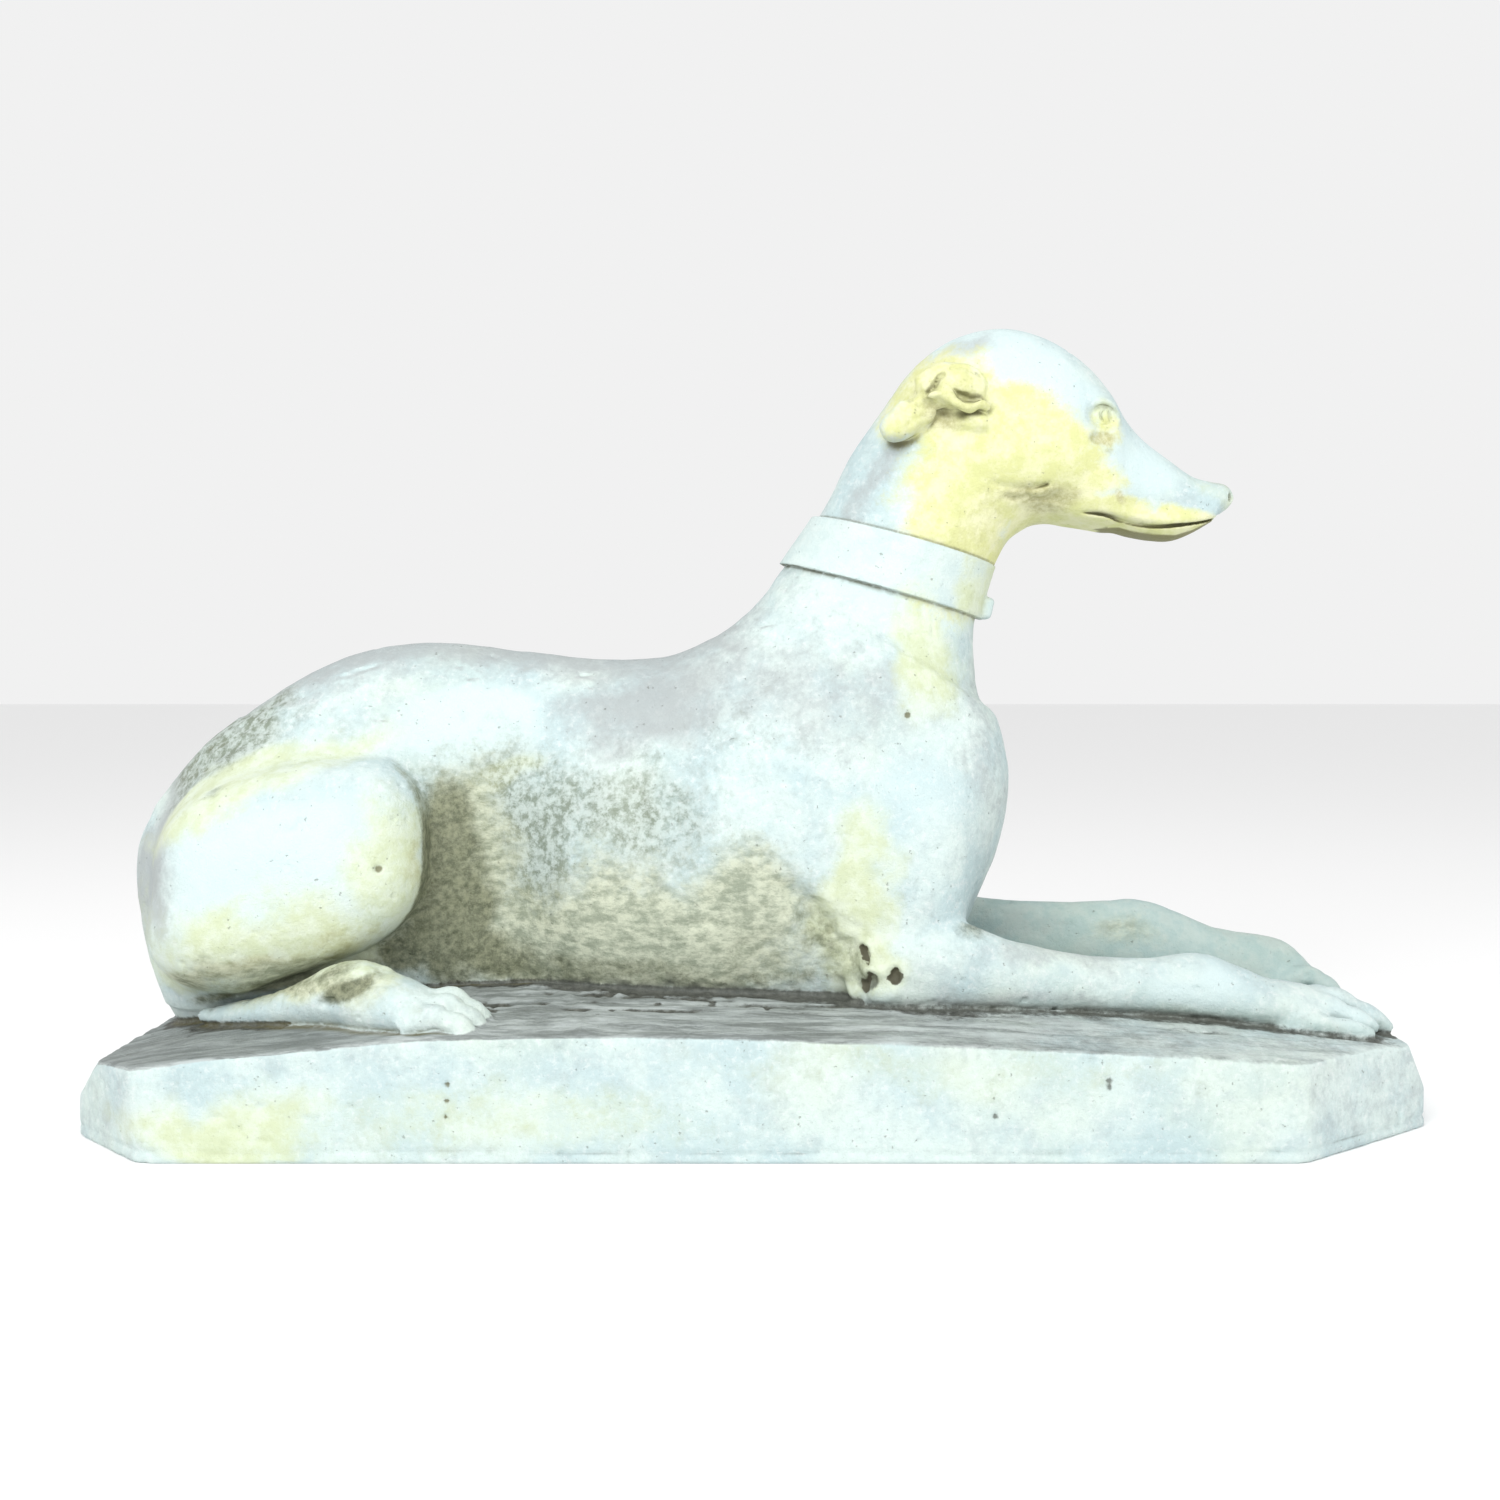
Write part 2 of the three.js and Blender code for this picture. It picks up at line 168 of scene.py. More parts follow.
class Clay:
    """Distances to a surface, held on a regular grid, that forms are joined to and cut from."""

    def __init__(self, low, high, voxel, band):
        self.voxel, self.band = voxel, band
        self.first = np.floor(np.array(low) / voxel).astype(int)
        self.last = np.ceil(np.array(high) / voxel).astype(int)
        self.field = np.full(self.last - self.first + 1, band, np.float32)

    def distances(self, surface, grow=0.0):
        """Where a closed surface lies in the clay, the distances to it there, and the places in mm."""
        points, triangles, quads = surface
        level = vdb.FloatGrid.createLevelSetFromPolygons(
            np.ascontiguousarray(points, np.float32),
            triangles=np.ascontiguousarray(triangles, np.uint32),
            quads=np.ascontiguousarray(quads, np.uint32),
            transform=vdb.createLinearTransform(voxelSize=self.voxel),
            halfWidth=self.band / self.voxel,
        )
        low = np.maximum(np.floor((points.min(0) - self.band) / self.voxel).astype(int), self.first)
        high = np.minimum(np.ceil((points.max(0) + self.band) / self.voxel).astype(int), self.last)
        block = np.empty(high - low + 1, np.float32)
        level.copyToArray(block, ijk=tuple(int(v) for v in low))
        where = tuple(slice(a, b) for a, b in zip(low - self.first, high - self.first + 1))
        places = np.ix_(*[np.arange(a, b + 1) * self.voxel for a, b in zip(low, high)])
        return where, block - grow, places

    def add(self, surface, soft=2.0, grow=0.0, between=None):
        """Joins a form; soft is the breadth of the blend, a number or a function of the place.

        between is an origin, an axis and a width: only what lies that far along the axis is joined.
        """
        where, new, places = self.distances(surface, grow)
        if between:
            origin, axis, width = between
            along = sum((place - start) * share for place, start, share in zip(places, origin, axis))
            new = np.maximum(new, np.maximum(-along, along - width))
        soft = np.maximum(soft(*places) if callable(soft) else soft, 1e-3)
        self.field[where] = blended(self.field[where], new, soft)

    def cut(self, surface, soft=2.0):
        """Takes a form away; soft is a number."""
        where, new, _ = self.distances(surface)
        self.field[where] = -blended(-self.field[where], new, np.maximum(soft, 1e-3))

    def sample(self, places):
        """Distance at each place, read between the grid's points."""
        at = places / self.voxel - self.first
        at = np.clip(at, 0, np.array(self.field.shape) - 1.001)
        cell = at.astype(int)
        return sum(weight * self.field[tuple(near.T)] for near, weight in eight_corners(cell, at - cell))

    def skin(self):
        """The clay's surface as points and quads."""
        edge = 3 * self.voxel
        grid = vdb.FloatGrid(edge)
        grid.transform = vdb.createLinearTransform(voxelSize=self.voxel)
        grid.gridClass = vdb.GridClass.LEVEL_SET
        grid.copyFromArray(np.clip(self.field, -edge, edge), ijk=tuple(int(v) for v in self.first))
        points, quads = grid.convertToQuads(isovalue=0.0)
        return points.astype(float), quads[:, ::-1].astype(int)


# Trunk, neck and head: top x and z, low x and z, half width, share of the cut where it is widest, roundness
BODY_STATIONS = [
    (-430, 84, -427, 60, 10, 0.5, 2.0),
    (-426, 100, -419, 20, 32, 0.48, 2.0),
    (-412, 123, -401, -30, 50, 0.45, 2.0),
    (-390, 147, -380, -47, 66, 0.45, 2.1),
    (-352, 181, -350, -49, 78, 0.46, 2.1),
    (-305, 210, -300, -49, 80, 0.48, 2.1),
    (-264, 225, -255, -49, 73, 0.5, 2.1),
    (-215, 228, -205, -49, 63, 0.5, 2.1),
    (-158, 222, -150, -49, 62, 0.48, 2.1),
    (-105, 217, -90, -49, 70, 0.46, 2.1),
    (-62, 219, -30, -49, 78, 0.45, 2.1),
    (-34, 230, 40, -49, 83, 0.44, 2.1),
    (-18, 240, 98, -44, 83, 0.44, 2.1),
    (-6, 250, 138, 19, 79, 0.46, 2.1),
    (2, 258, 165, 76, 73, 0.5, 2.0),
    (8, 265, 177, 128, 68, 0.52, 2.0),
    (12, 271, 170, 173, 60, 0.52, 2.0),
    (14, 274, 157, 189, 55, 0.52, 2.0),
    (17, 278, 153.5, 216, 51, 0.5, 2.0),
    (21, 283, 154, 246, 47, 0.5, 2.0),
    (48, 323, 166, 279, 45, 0.5, 2.0),
    (66, 358, 173, 294, 44, 0.5, 2.0),
    (88, 390.5, 179, 302, 45, 0.52, 2.1),
    (109.5, 420, 186, 307, 48, 0.55, 2.2),
    (137, 440, 194, 311, 50, 0.58, 2.3),
    (170, 447.5, 205, 312, 51, 0.58, 2.3),
    (200, 441, 218, 310, 49, 0.56, 2.3),
    (227, 424.5, 232, 308, 44, 0.54, 2.3),
    (246, 404.5, 243, 306, 38, 0.52, 2.2),
    (257, 386, 252, 305.5, 32, 0.5, 2.2),
    (270, 371, 263, 302.5, 28, 0.48, 2.2),
    (287, 358, 276, 300.5, 25, 0.46, 2.3),
    (305, 345.5, 291, 300, 22, 0.46, 2.4),
    (320, 341, 304, 304.5, 19, 0.48, 2.4),
    (329, 337.5, 317, 312, 15, 0.5, 2.2),
    (334, 331, 329, 322, 6, 0.5, 2.0),
]
COLLAR_STATION = 19  # at the collar's lower edge
AROUND = 96
STEPS = 8


def body_rings(proud=0.0):
    """Rings of the body's skin, STEPS from station to station, grown outwards by proud."""
    run = through(BODY_STATIONS, STEPS)[:, None]
    proud = np.broadcast_to(proud, (len(run), AROUND))
    angle = np.linspace(0, 2 * math.pi, AROUND, endpoint=False)[None, :]
    half, widest, power = run[..., 4], run[..., 5], run[..., 6]
    up = np.sign(np.cos(angle)) * np.abs(np.cos(angle)) ** (2 / power)
    side = np.sign(np.sin(angle)) * np.abs(np.sin(angle)) ** (2 / power)
    along = ((1 + up) / 2) ** (np.log(widest) / math.log(0.5))
    cut = run[..., 0:2] - run[..., 2:4]
    out = cut / np.linalg.norm(cut, axis=2, keepdims=True)
    profile = run[..., 2:4] + cut * along[..., None] + out * (proud * up)[..., None]
    return np.stack([profile[..., 0], side * (half + proud), profile[..., 1] + BED], 2)


RINGS = body_rings()
COLLAR_START = COLLAR_STATION * STEPS
NECK_MIDDLES = RINGS[COLLAR_START:].mean(1)
UP_THE_NECK = np.linalg.norm(NECK_MIDDLES - NECK_MIDDLES[0], axis=1)
COLLAR_END = COLLAR_START + int(np.argmax(UP_THE_NECK > COLLAR_WIDTH))


def cut_plane(ring):
    """Middle of a ring of the neck, and the way up the neck square to it."""
    across = ring[0] - ring[AROUND // 2]
    across /= np.linalg.norm(across)
    return ring.mean(0), np.array([-across[2], 0, across[0]]) * (1 if across[0] > 0 else -1)


COLLAR_PLANE = cut_plane(RINGS[COLLAR_START])


def toe(knuckle, tip, radius):
    """A toe, from behind its knuckle, over it and down to its tip."""
    knuckle, tip = np.array(knuckle, float), np.array(tip, float)
    reach = tip - knuckle
    path = [
        (knuckle + (-22, 0, -8), 0.6, 0.8),
        (knuckle + (-10, 0, -1.5), 0.8, 0.95),
        (knuckle, 0.95, 1),
        (knuckle + reach * 0.3, 0.86, 0.9),
        (knuckle + reach * (0.55, 0.55, 0.5), 0.94, 0.98),
        (knuckle + reach * (0.8, 0.8, 0.78), 0.84, 0.84),
        (tip, 0.4, 0.45),
    ]
    return limb([(*place, radius * wide, radius * high) for place, wide, high in path], around=28)


def plinth_outline(rear, front, rear_cut, front_cut):
    """The plinth's corners seen from above, with points along each edge."""
    half = PLINTH["half"]
    corners = np.array([
        (rear, half - rear_cut[1]),
        (rear, -half + rear_cut[1]),
        (rear + rear_cut[0], -half),
        (front - front_cut[0], -half),
        (front, -half + front_cut[1]),
        (front, half - front_cut[1]),
        (front - front_cut[0], half),
        (rear + rear_cut[0], half),
    ])
    before, after = np.roll(corners, 1, 0), np.roll(corners, -1, 0)

    def beside(neighbours):
        """Where the rounding of each corner ends, on the way to a neighbour."""
        way = neighbours - corners
        return corners + way * CORNER_ROUNDING / np.linalg.norm(way, axis=1, keepdims=True)

    starts, ends = beside(before), beside(after)
    bend, share = (np.arange(5) / 5)[:, None], (np.arange(14) / 14)[:, None]
    parts = []
    for start, corner, end, following in zip(starts, corners, ends, np.roll(starts, -1, 0)):
        parts.append(start * (1 - bend) ** 2 + 2 * corner * bend * (1 - bend) + end * bend**2)
        parts.append(end + (following - end) * share)
    return np.vstack(parts)


def plinth_top(x, y):
    """Height of the crowned top."""
    rear = np.clip((CROWN["crest"] - x) / (CROWN["crest"] - PLINTH["rear"]), 0, None)
    front = np.clip((x - CROWN["crest"]) / (PLINTH["front"] - CROWN["crest"]), 0, None)
    edge = BED - CROWN["cross"] - CROWN["rear"] * rear**1.8 - CROWN["front"] * front**1.5
    fade = 1 - np.maximum(rear, front) ** 4
    return edge + CROWN["cross"] * (1 - (y / PLINTH["half"]) ** 2) * fade


def plinth():
    """The plinth with sharp edges: foot, band, and the crowned top in ever smaller rings."""
    foot = plinth_outline(
        PLINTH["rear"] - PLINTH["rear_flare"], PLINTH["front"] + PLINTH["front_flare"],
        REAR_CUT["foot"], FRONT_CUT["foot"])
    edge = plinth_outline(PLINTH["rear"], PLINTH["front"], REAR_CUT["top"], FRONT_CUT["top"])
    middle = np.array([(PLINTH["rear"] + PLINTH["front"]) / 2, 0])
    rings = [np.column_stack([foot, np.full(len(foot), z)]) for z in (0, PLINTH["foot_band"])]
    for share in np.linspace(1, 0.1, 14):
        at = middle + (edge - middle) * share
        rings.append(np.column_stack([at, plinth_top(*at.T)]))
    return loft(rings)


def add_forms(clay, side, *rows):
    """Joins forms on one side, each with the breadth of its blend."""
    for form, soft in rows:
        clay.add(side(form), soft)


def cut_forms(clay, side, *rows):
    """Takes forms away on one side, each with the breadth of its blend."""
    for form, soft in rows:
        clay.cut(side(form), soft)


def shape_trunk(clay):
    """Shoulders, ribs, breast and upper arms, and the hollows behind the elbows and at the loins."""
    shoulder = mass((34, -50, 104), (74, 33, 88), tilt=24)
    ribs = mass((-66, -36, 74), (96, 46, 84), tilt=-6)
    breast = mass((137, -30, 118), (27, 32, 56), tilt=-6)
    upper_arm = mass((104, -58, 58), (36, 30, 92), tilt=-8)
    hollow = mass((40, -93, 8), (21, 12, 44), tilt=-6)
    loin = mass((-172, -88, 58), (32, 32, 74), tilt=-12)
    for form, soft in ((shoulder, 26), (ribs, 26), (breast, 22), (upper_arm, 24)):
        for side in SIDES:
            clay.add(side(form), soft)
    for form, soft in ((hollow, 14), (loin, 22)):
        for side in SIDES:
            clay.cut(side(form), soft)


def thigh_blend(x, y, z):
    """Breadth of the thigh's blend: wide over the rump and the loin, narrow at the knee."""
    return 5 + 34 * rise(x, -305, -375) + 10 * rise(z, 215, 245)


def shape_hind_leg(clay, side):
    """Folded hind leg with its foot flat on the bed."""
    toes = [
        toe((-195, -149, -2), (-172, -150, -12), 6.6),
        toe((-190, -138.5, 2.5), (-167, -139, -13), 7.2),
        toe((-189, -127, 4.5), (-165, -127, -13), 7.4),
        toe((-193, -115, 1.5), (-170, -114, -12), 7.2),
    ]
    foot = limb([
        (-364, -68, -19, 6, 4), (-345, -78, -17, 9, 7), (-318, -90, -12, 13, 10),
        (-290, -101, -5, 16, 14), (-266, -110, 2, 18, 19.5), (-250, -117, 4, 20, 22),
        (-236, -123, 2, 21, 21), (-222, -128, 0, 21, 18), (-206, -132, -5, 20, 15),
        (-196, -133, -10, 16, 11),
    ])
    sole = mass((-190, -132, -15), (21, 21, 9))
    thigh = mass((-303, -76, 80), (87, 46, 66), tilt=15, power=2.45, around=80)
    knee = mass((-251, -74, 111), (34, 38, 40), tilt=10)
    under_thigh = mass((-326, -76, 48), (62, 42, 39), tilt=8, power=2.2)
    low_rump = mass((-350, -64, 36), (48, 46, 34), tilt=4, power=2.2)
    add_forms(clay, side, *[(form, 1) for form in toes], (foot, 4), (sole, 3))
    add_forms(clay, side, (thigh, thigh_blend), (knee, 8), (under_thigh, 10), (low_rump, 18))


def shape_near_foreleg(clay):
    """Outstretched foreleg, its paw flat on the bed."""
    toes = [
        toe((364, -83, -21), (402, -84.5, -28), 6.8), toe((378, -71.5, -12.5), (409, -73, -27), 7),
        toe((387, -59, -9.5), (423, -60.5, -30), 7.4), toe((380, -46, -10), (417, -46, -29), 7.4),
    ]
    sole = mass((378, -62, -28), (32, 21, 12))
    arm = limb([
        (62, -70, 0, 14, 16), (80, -74, 8, 22, 28), (120, -73, 14, 22, 32), (161, -70, 7, 19.5, 25),
        (214, -67, 1, 18, 20), (261, -65, -1, 18, 19.5), (292, -64, -1, 20, 22.5),
        (314, -64, -6, 21, 20), (334, -64, -11, 22, 17), (352, -62, -13, 22, 15.5),
        (366, -60, -15, 19, 14.5), (380, -58, -18, 15, 12),
    ])
    join_foreleg(clay, toes, sole, arm)


def shape_far_foreleg(clay):
    """The other foreleg, held a little higher at the wrist."""
    toes = [
        toe((403, 42, -13), (425, 40, -27), 7.6), toe((398, 55, -9), (425, 55, -28), 8),
        toe((397, 69, -9), (423, 70, -29), 8), toe((391, 83, -12), (416, 85, -29), 7.6),
    ]
    sole = mass((384, 62, -22), (34, 24, 15))
    arm = limb([
        (62, 70, 0, 14, 16), (80, 74, 8, 22, 28), (120, 73, 14, 22, 32), (167, 70, 12, 20, 28),
        (220, 67, 10, 20, 27), (262, 65, 9, 21, 29), (282, 64, 8, 22, 31), (306, 64, 2, 22, 29),
        (332, 64, -5, 23, 25), (352, 64, -9, 23, 24.5), (370, 63, -12, 22, 26),
        (384, 62, -15, 19, 25), (395, 61, -20, 15, 20),
    ])
    join_foreleg(clay, toes, sole, arm)


def join_foreleg(clay, toes, sole, arm):
    add_forms(clay, as_is, *[(form, 1) for form in toes], (sole, 1.5), (arm, 6))


def wear_near_side(clay):
    """Cuts the groove behind the near elbow and the worn streak of the near hind foot."""
    elbow_groove = limb([
        (20, -88, 70, 3, 3), (33, -89, 54, 8, 8), (46, -90, 38, 9, 9), (56, -92, 20, 9, 7),
        (61, -94, 4, 9, 6), (62, -95, -12, 9, 6),
    ], around=24)
    streak = mass((-254, -139, 11), (20, 5, 4), tilt=28)
    streak_end = mass((-268, -130, 2), (9, 5, 3), tilt=20)
    cut_forms(clay, as_is, (elbow_groove, 10), (streak, 2.5), (streak_end, 2.5))


def shape_tail(clay):
    """Tail round the far haunch."""
    tail = limb([
        (-398, 30, 8, 14, 15), (-405, 62, -6, 12, 14), (-392, 96, -12, 11, 13),
        (-356, 124, -12, 10, 12), (-310, 146, -13, 8, 10), (-272, 147, -13, 6, 8),
        (-246, 150, -14, 4, 6),
    ])
    clay.add(tail, soft=8)


def set_on_plinth(clay):
    """Joins the plinth, with rounded edges, and cuts the underside flat."""
    base = Clay(*PLINTH_BOX, BODY_VOXEL, BODY_BAND)
    base.add(shrunk_plinth(), soft=0.1, grow=ARRIS)
    where = tuple(slice(0, count) for count in base.field.shape)
    clay.field[where] = blended(clay.field[where], base.field, BED_SEAM)
    heights = (clay.first[2] + np.arange(clay.field.shape[2])) * clay.voxel
    np.maximum(clay.field, -heights[None, None, :].astype(np.float32), out=clay.field)


def model_body():
    """Plinth, trunk, limbs and tail, with the neck to a little above the collar's lower edge."""
    clay = Clay(*BODY_BOX, BODY_VOXEL, BODY_BAND)
    clay.add(loft(RINGS[: COLLAR_START + STEPS // 2]), soft=1)
    shape_trunk(clay)
    for side in SIDES:
        shape_hind_leg(clay, side)
    shape_near_foreleg(clay)
    shape_far_foreleg(clay)
    wear_near_side(clay)
    shape_tail(clay)
    set_on_plinth(clay)
    return clay


def shrunk_plinth():
    """The plinth set in by ARRIS all round but below: growing it again rounds its edges."""
    points, triangles, quads = plinth()
    middle = np.array([(PLINTH["rear"] + PLINTH["front"]) / 2, 0, 0])
    half = np.array([(PLINTH["front"] - PLINTH["rear"]) / 2 + 10, PLINTH["half"], 1])
    points = middle + (points - middle) * (1 - ARRIS * np.array([1.15, 1, 0]) / half)
    points[:, 2] = np.where(points[:, 2] > 40, points[:, 2] - ARRIS, points[:, 2])
    return points, triangles, quads


def shape_face(clay, side):
    """Cheek, jowl, brow and upper lip."""
    cheek = mass((186, -31, 360), (40, 19, 31), tilt=-10)
    jowl = mass((228, -22, 334), (30, 12, 18), tilt=-12)
    brow = mass((231, -26, 397), (15, 11, 6), tilt=-32)
    lip = limb([
        (236, -23, 321, 5, 2.6), (258, -22.5, 316, 5, 2.8), (280, -20.5, 313, 4.5, 2.8),
        (300, -17, 314.5, 4, 2.6), (316, -12, 318, 3.5, 2.4),
    ], around=24)
    add_forms(clay, side, (cheek, 13), (jowl, 12), (brow, 8), (lip, 8))


def shape_eye(clay, side):
    """Eyeball in its socket, with lids, the rim of the iris and the pupil, and the dent under it."""
    socket = mass((236, -44.5, 382.5), (13.5, 9.5, 10.5), tilt=-12, yaw=28)
    eyeball = mass((235.5, -29.5, 382), (11, 9, 9.5), yaw=28)
    upper_lid = limb([
        (222.5, -38.8, 381, 1, 1), (226, -39.6, 388, 1.7, 1.7), (234, -39.2, 392, 2.1, 2.1),
        (242.5, -35.8, 390, 1.9, 1.9), (248.5, -30.5, 383.5, 1.2, 1.2),
    ], around=20)
    lower_lid = limb([
        (222, -39.5, 380, 1, 1), (227, -40.5, 373.5, 1.6, 1.6), (236, -39, 371, 1.8, 1.8),
        (244, -34.5, 374.5, 1.6, 1.6), (249, -31, 381, 1.2, 1.2),
    ], around=20)
    pupil = mass((242, -37, 382.5), (2, 3.4, 4), tilt=10, yaw=28, power=3)
    iris = limb([
        (239, -38.6, 388.5, 2, 0.8), (236, -39, 387, 2.4, 1.1), (234, -39.2, 382.5, 2.6, 1.2),
        (236, -39, 378, 2.2, 0.8),
    ], around=16)
    eye_bag = mass((235, -43, 366.5), (8, 2.8, 2.4), tilt=4)
    cut_forms(clay, side, (socket, 4))
    add_forms(clay, side, (eyeball, 1), (upper_lid, 1.6), (lower_lid, 1.6))
    cut_forms(clay, side, (pupil, 1), (iris, 1), (eye_bag, 7))


def shape_ear(clay, side):
    """Ear folded back: its two halves, the fold across them, and the hollows and creases between."""
    ear = mass((132, -45, 400.5), (25, 13.5, 16.5), tilt=-5, power=2.2)
    ear_back = mass((102, -43, 379), (20, 10.5, 11.5), tilt=33, power=2.5)
    ear_front = mass((149, -45, 376.5), (12, 9, 7.5), tilt=-12)
    ear_fold = limb([
        (114, -54, 391, 3, 2), (121, -56.5, 393.5, 4, 3), (128, -57, 391.5, 4, 3.2),
        (134, -56.5, 387, 4, 3.4), (141, -56, 385.5, 4.5, 3.6), (149, -54, 387, 4.5, 3.2),
        (155, -50, 385, 4, 2.4),
    ], around=24)
    hollow_front = limb([
        (131, -59, 397, 3, 0.8), (136, -59.5, 393.5, 5.5, 2.4), (142, -59, 391, 5.5, 2.4),
        (147, -57.5, 390.5, 5, 1.8), (152, -55, 392, 3, 0.8),
    ], around=24)
    ear_crease = limb([
        (126, -58, 407, 3, 0.8), (122, -59, 405, 4, 1.2), (118, -57.5, 400, 4, 1),
        (114, -54, 395, 3, 0.8),
    ], around=24)
    rim_crease = limb([
        (130, -57, 411, 3, 0.7), (137, -57, 412.5, 4, 1.3), (144, -56, 411, 4, 1.3),
        (151, -53, 406, 3, 0.7),
    ], around=24)
    hollow_back = limb([
        (110, -57, 389, 3, 1), (115, -58, 388, 6, 2.6), (122, -58, 386, 8, 3.4),
        (129, -57, 382.5, 8, 3), (136, -55, 379.5, 6, 2), (141, -53, 377, 3, 0.8),
    ], around=24)
    bowl = mass((124, -58, 377.5), (10, 7, 6), tilt=-12)
    lobe_dent = mass((99, -54, 386), (3.5, 4.5, 6), tilt=-20)
    add_forms(clay, side, (ear, 1.5), (ear_back, 3), (ear_front, 3))
    cut_forms(clay, side, (bowl, 5))
    add_forms(clay, side, (ear_fold, 2.5))
    cut_forms(clay, side, (hollow_back, 3), (hollow_front, 2.5))
    cut_forms(clay, side, (lobe_dent, 3), (ear_crease, 3), (rim_crease, 3))


def crease_throat(clay, side):
    """Creases under the cheek."""
    jaw_crease = limb([
        (160, -46, 336, 3, 0.5), (168, -44.5, 333.5, 4, 1.5), (178, -43.5, 332.5, 3.6, 1),
        (188, -42.5, 333, 4, 1.6), (198, -41, 335.5, 2.5, 0.5),
    ], around=24)
    throat_crease = limb([
        (170, -38.5, 328, 2.4, 0.5), (178, -37.5, 326, 3.6, 1.2), (187, -36.5, 324.5, 4, 1.6),
        (194, -34, 325, 2.4, 0.5),
    ], around=24)
    cut_forms(clay, side, (jaw_crease, 4), (throat_crease, 4))


def cut_mouth(clay, side):
    """Line of the mouth, and the nostril."""
    nostril = mass((331, -8, 330), (4.5, 3, 3), tilt=-10, yaw=-30)
    mouth = limb([
        (226, -34.5, 317.5, 7, 0.7), (234, -31, 317, 8, 1.2), (243, -27.5, 315.3, 6.8, 1.1),
        (252, -25, 312.5, 6.4, 1.1), (264, -23, 309.8, 5.8, 1.1), (277, -21.8, 308.6, 5.4, 1),
        (292, -19, 309.6, 4.6, 1), (307, -15.2, 312, 3.8, 0.9), (316, -10.5, 314.6, 4, 1),
        (322, -5, 317, 3.6, 0.9), (323, 0, 317.5, 3, 0.8),
    ], around=24)
    cut_forms(clay, side, (mouth, 1.5), (nostril, 2))


def add_collar(clay):
    """Collar of even width, lower at the throat's upper edge, with its buckle."""
    around = np.linspace(0, 2 * math.pi, AROUND, endpoint=False)
    climb = rise(np.arange(len(RINGS)), COLLAR_START, COLLAR_END)[:, None]
    throat_side = np.clip(-np.cos(around), 0, 1) ** 2
    proud = COLLAR_PROUD * (1 - 0.7 * climb * throat_side)
    band = body_rings(proud)[COLLAR_START - 4 : COLLAR_END + 2 * STEPS]
    clay.add(loft(band), soft=0.6, between=(*COLLAR_PLANE, COLLAR_WIDTH))
    clay.add(mass((157, 0, 254), (9.5, BUCKLE / 2, 8), tilt=-14, power=5), soft=2)
    clay.cut(mass((149, -10, 251), (3, 3, 4)), soft=2)


def model_head():
    """Head and upper neck from the collar's lower edge, with the collar and its buckle."""
    clay = Clay(*HEAD_BOX, HEAD_VOXEL, HEAD_BAND)
    clay.add(loft(RINGS[COLLAR_START:]), soft=1)
    for side in SIDES:
        shape_face(clay, side)
        shape_eye(clay, side)
        shape_ear(clay, side)
        crease_throat(clay, side)
    nose = mass((325.5, 0, 331), (8.5, 11, 8), tilt=-24)
    clay.add(nose, soft=5)
    for side in SIDES:
        cut_mouth(clay, side)
    add_collar(clay)
    return clay


# From clay to one mesh

def mesh_object(name, points, quads):
    """A new mesh in the scene, from millimetres."""
    mesh = bpy.data.meshes.new(name)
    mesh.from_pydata(points / 1000, [], quads)
    mesh.update()
    obj = bpy.data.objects.new(name, mesh)
    bpy.context.scene.collection.objects.link(obj)
    return obj


def apply_modifier(obj, kind, **settings):
    modifier = obj.modifiers.new(kind, kind)
    for key, value in settings.items():
        setattr(modifier, key, value)
    bpy.context.view_layer.objects.active = obj
    obj.select_set(True)
    bpy.ops.object.modifier_apply(modifier=modifier.name)
    obj.select_set(False)


body_clay, head_clay = model_body(), model_head()
statue = mesh_object("greyhound", *body_clay.skin())
head = mesh_object("head", *head_clay.skin())
apply_modifier(statue, "BOOLEAN", operation="UNION", solver="MANIFOLD", object=head)
bpy.data.objects.remove(head)


# Places on the surface, and noise

def lattice(i, j, k, seed):
    """A repeatable number from 0 to 1 for each lattice point."""
    mixed = (i * 73856093) ^ (j * 19349663) ^ (k * 83492791) ^ (seed * 2654435761)
    mixed = (mixed ^ (mixed >> 13)) * 1274126177 & 0xFFFFFFFF
    return ((mixed ^ (mixed >> 16)) & 0xFFFF) / 65535.0


def noise(points, scale, seed):
    """Smooth noise from -1 to 1 with features of the given size, a number or one for each axis, in mm."""
    at = points / np.asarray(scale, float)
    cell = np.floor(at).astype(np.int64)
    share = at - cell
    share = share * share * (3 - 2 * share)
    total = sum(weight * lattice(*near.T, seed) for near, weight in eight_corners(cell, share))
    return total * 2 - 1


def read_mesh(obj):
    """Places and normals of a mesh's points, in millimetres."""
    count = len(obj.data.vertices)
    places, normals = np.empty(count * 3), np.empty(count * 3)
    obj.data.vertices.foreach_get("co", places)
    obj.data.vertex_normals.foreach_get("vector", normals)
    return places.reshape(-1, 3) * 1000, normals.reshape(-1, 3)


def on_head(places):
    """Whether each place lies past the collar's lower edge, where the head's clay holds."""
    start, ahead = NECK_MIDDLES[0], NECK_MIDDLES[STEPS]
    return (places - start) @ (ahead - start) > 0


def on_plinth(places):
    """Share of the surface that belongs to the plinth: 1 below its top, 0 on the dog."""
    return rise(places[:, 2] - plinth_top(places[:, 0], places[:, 1]), 3.5, 0.5)


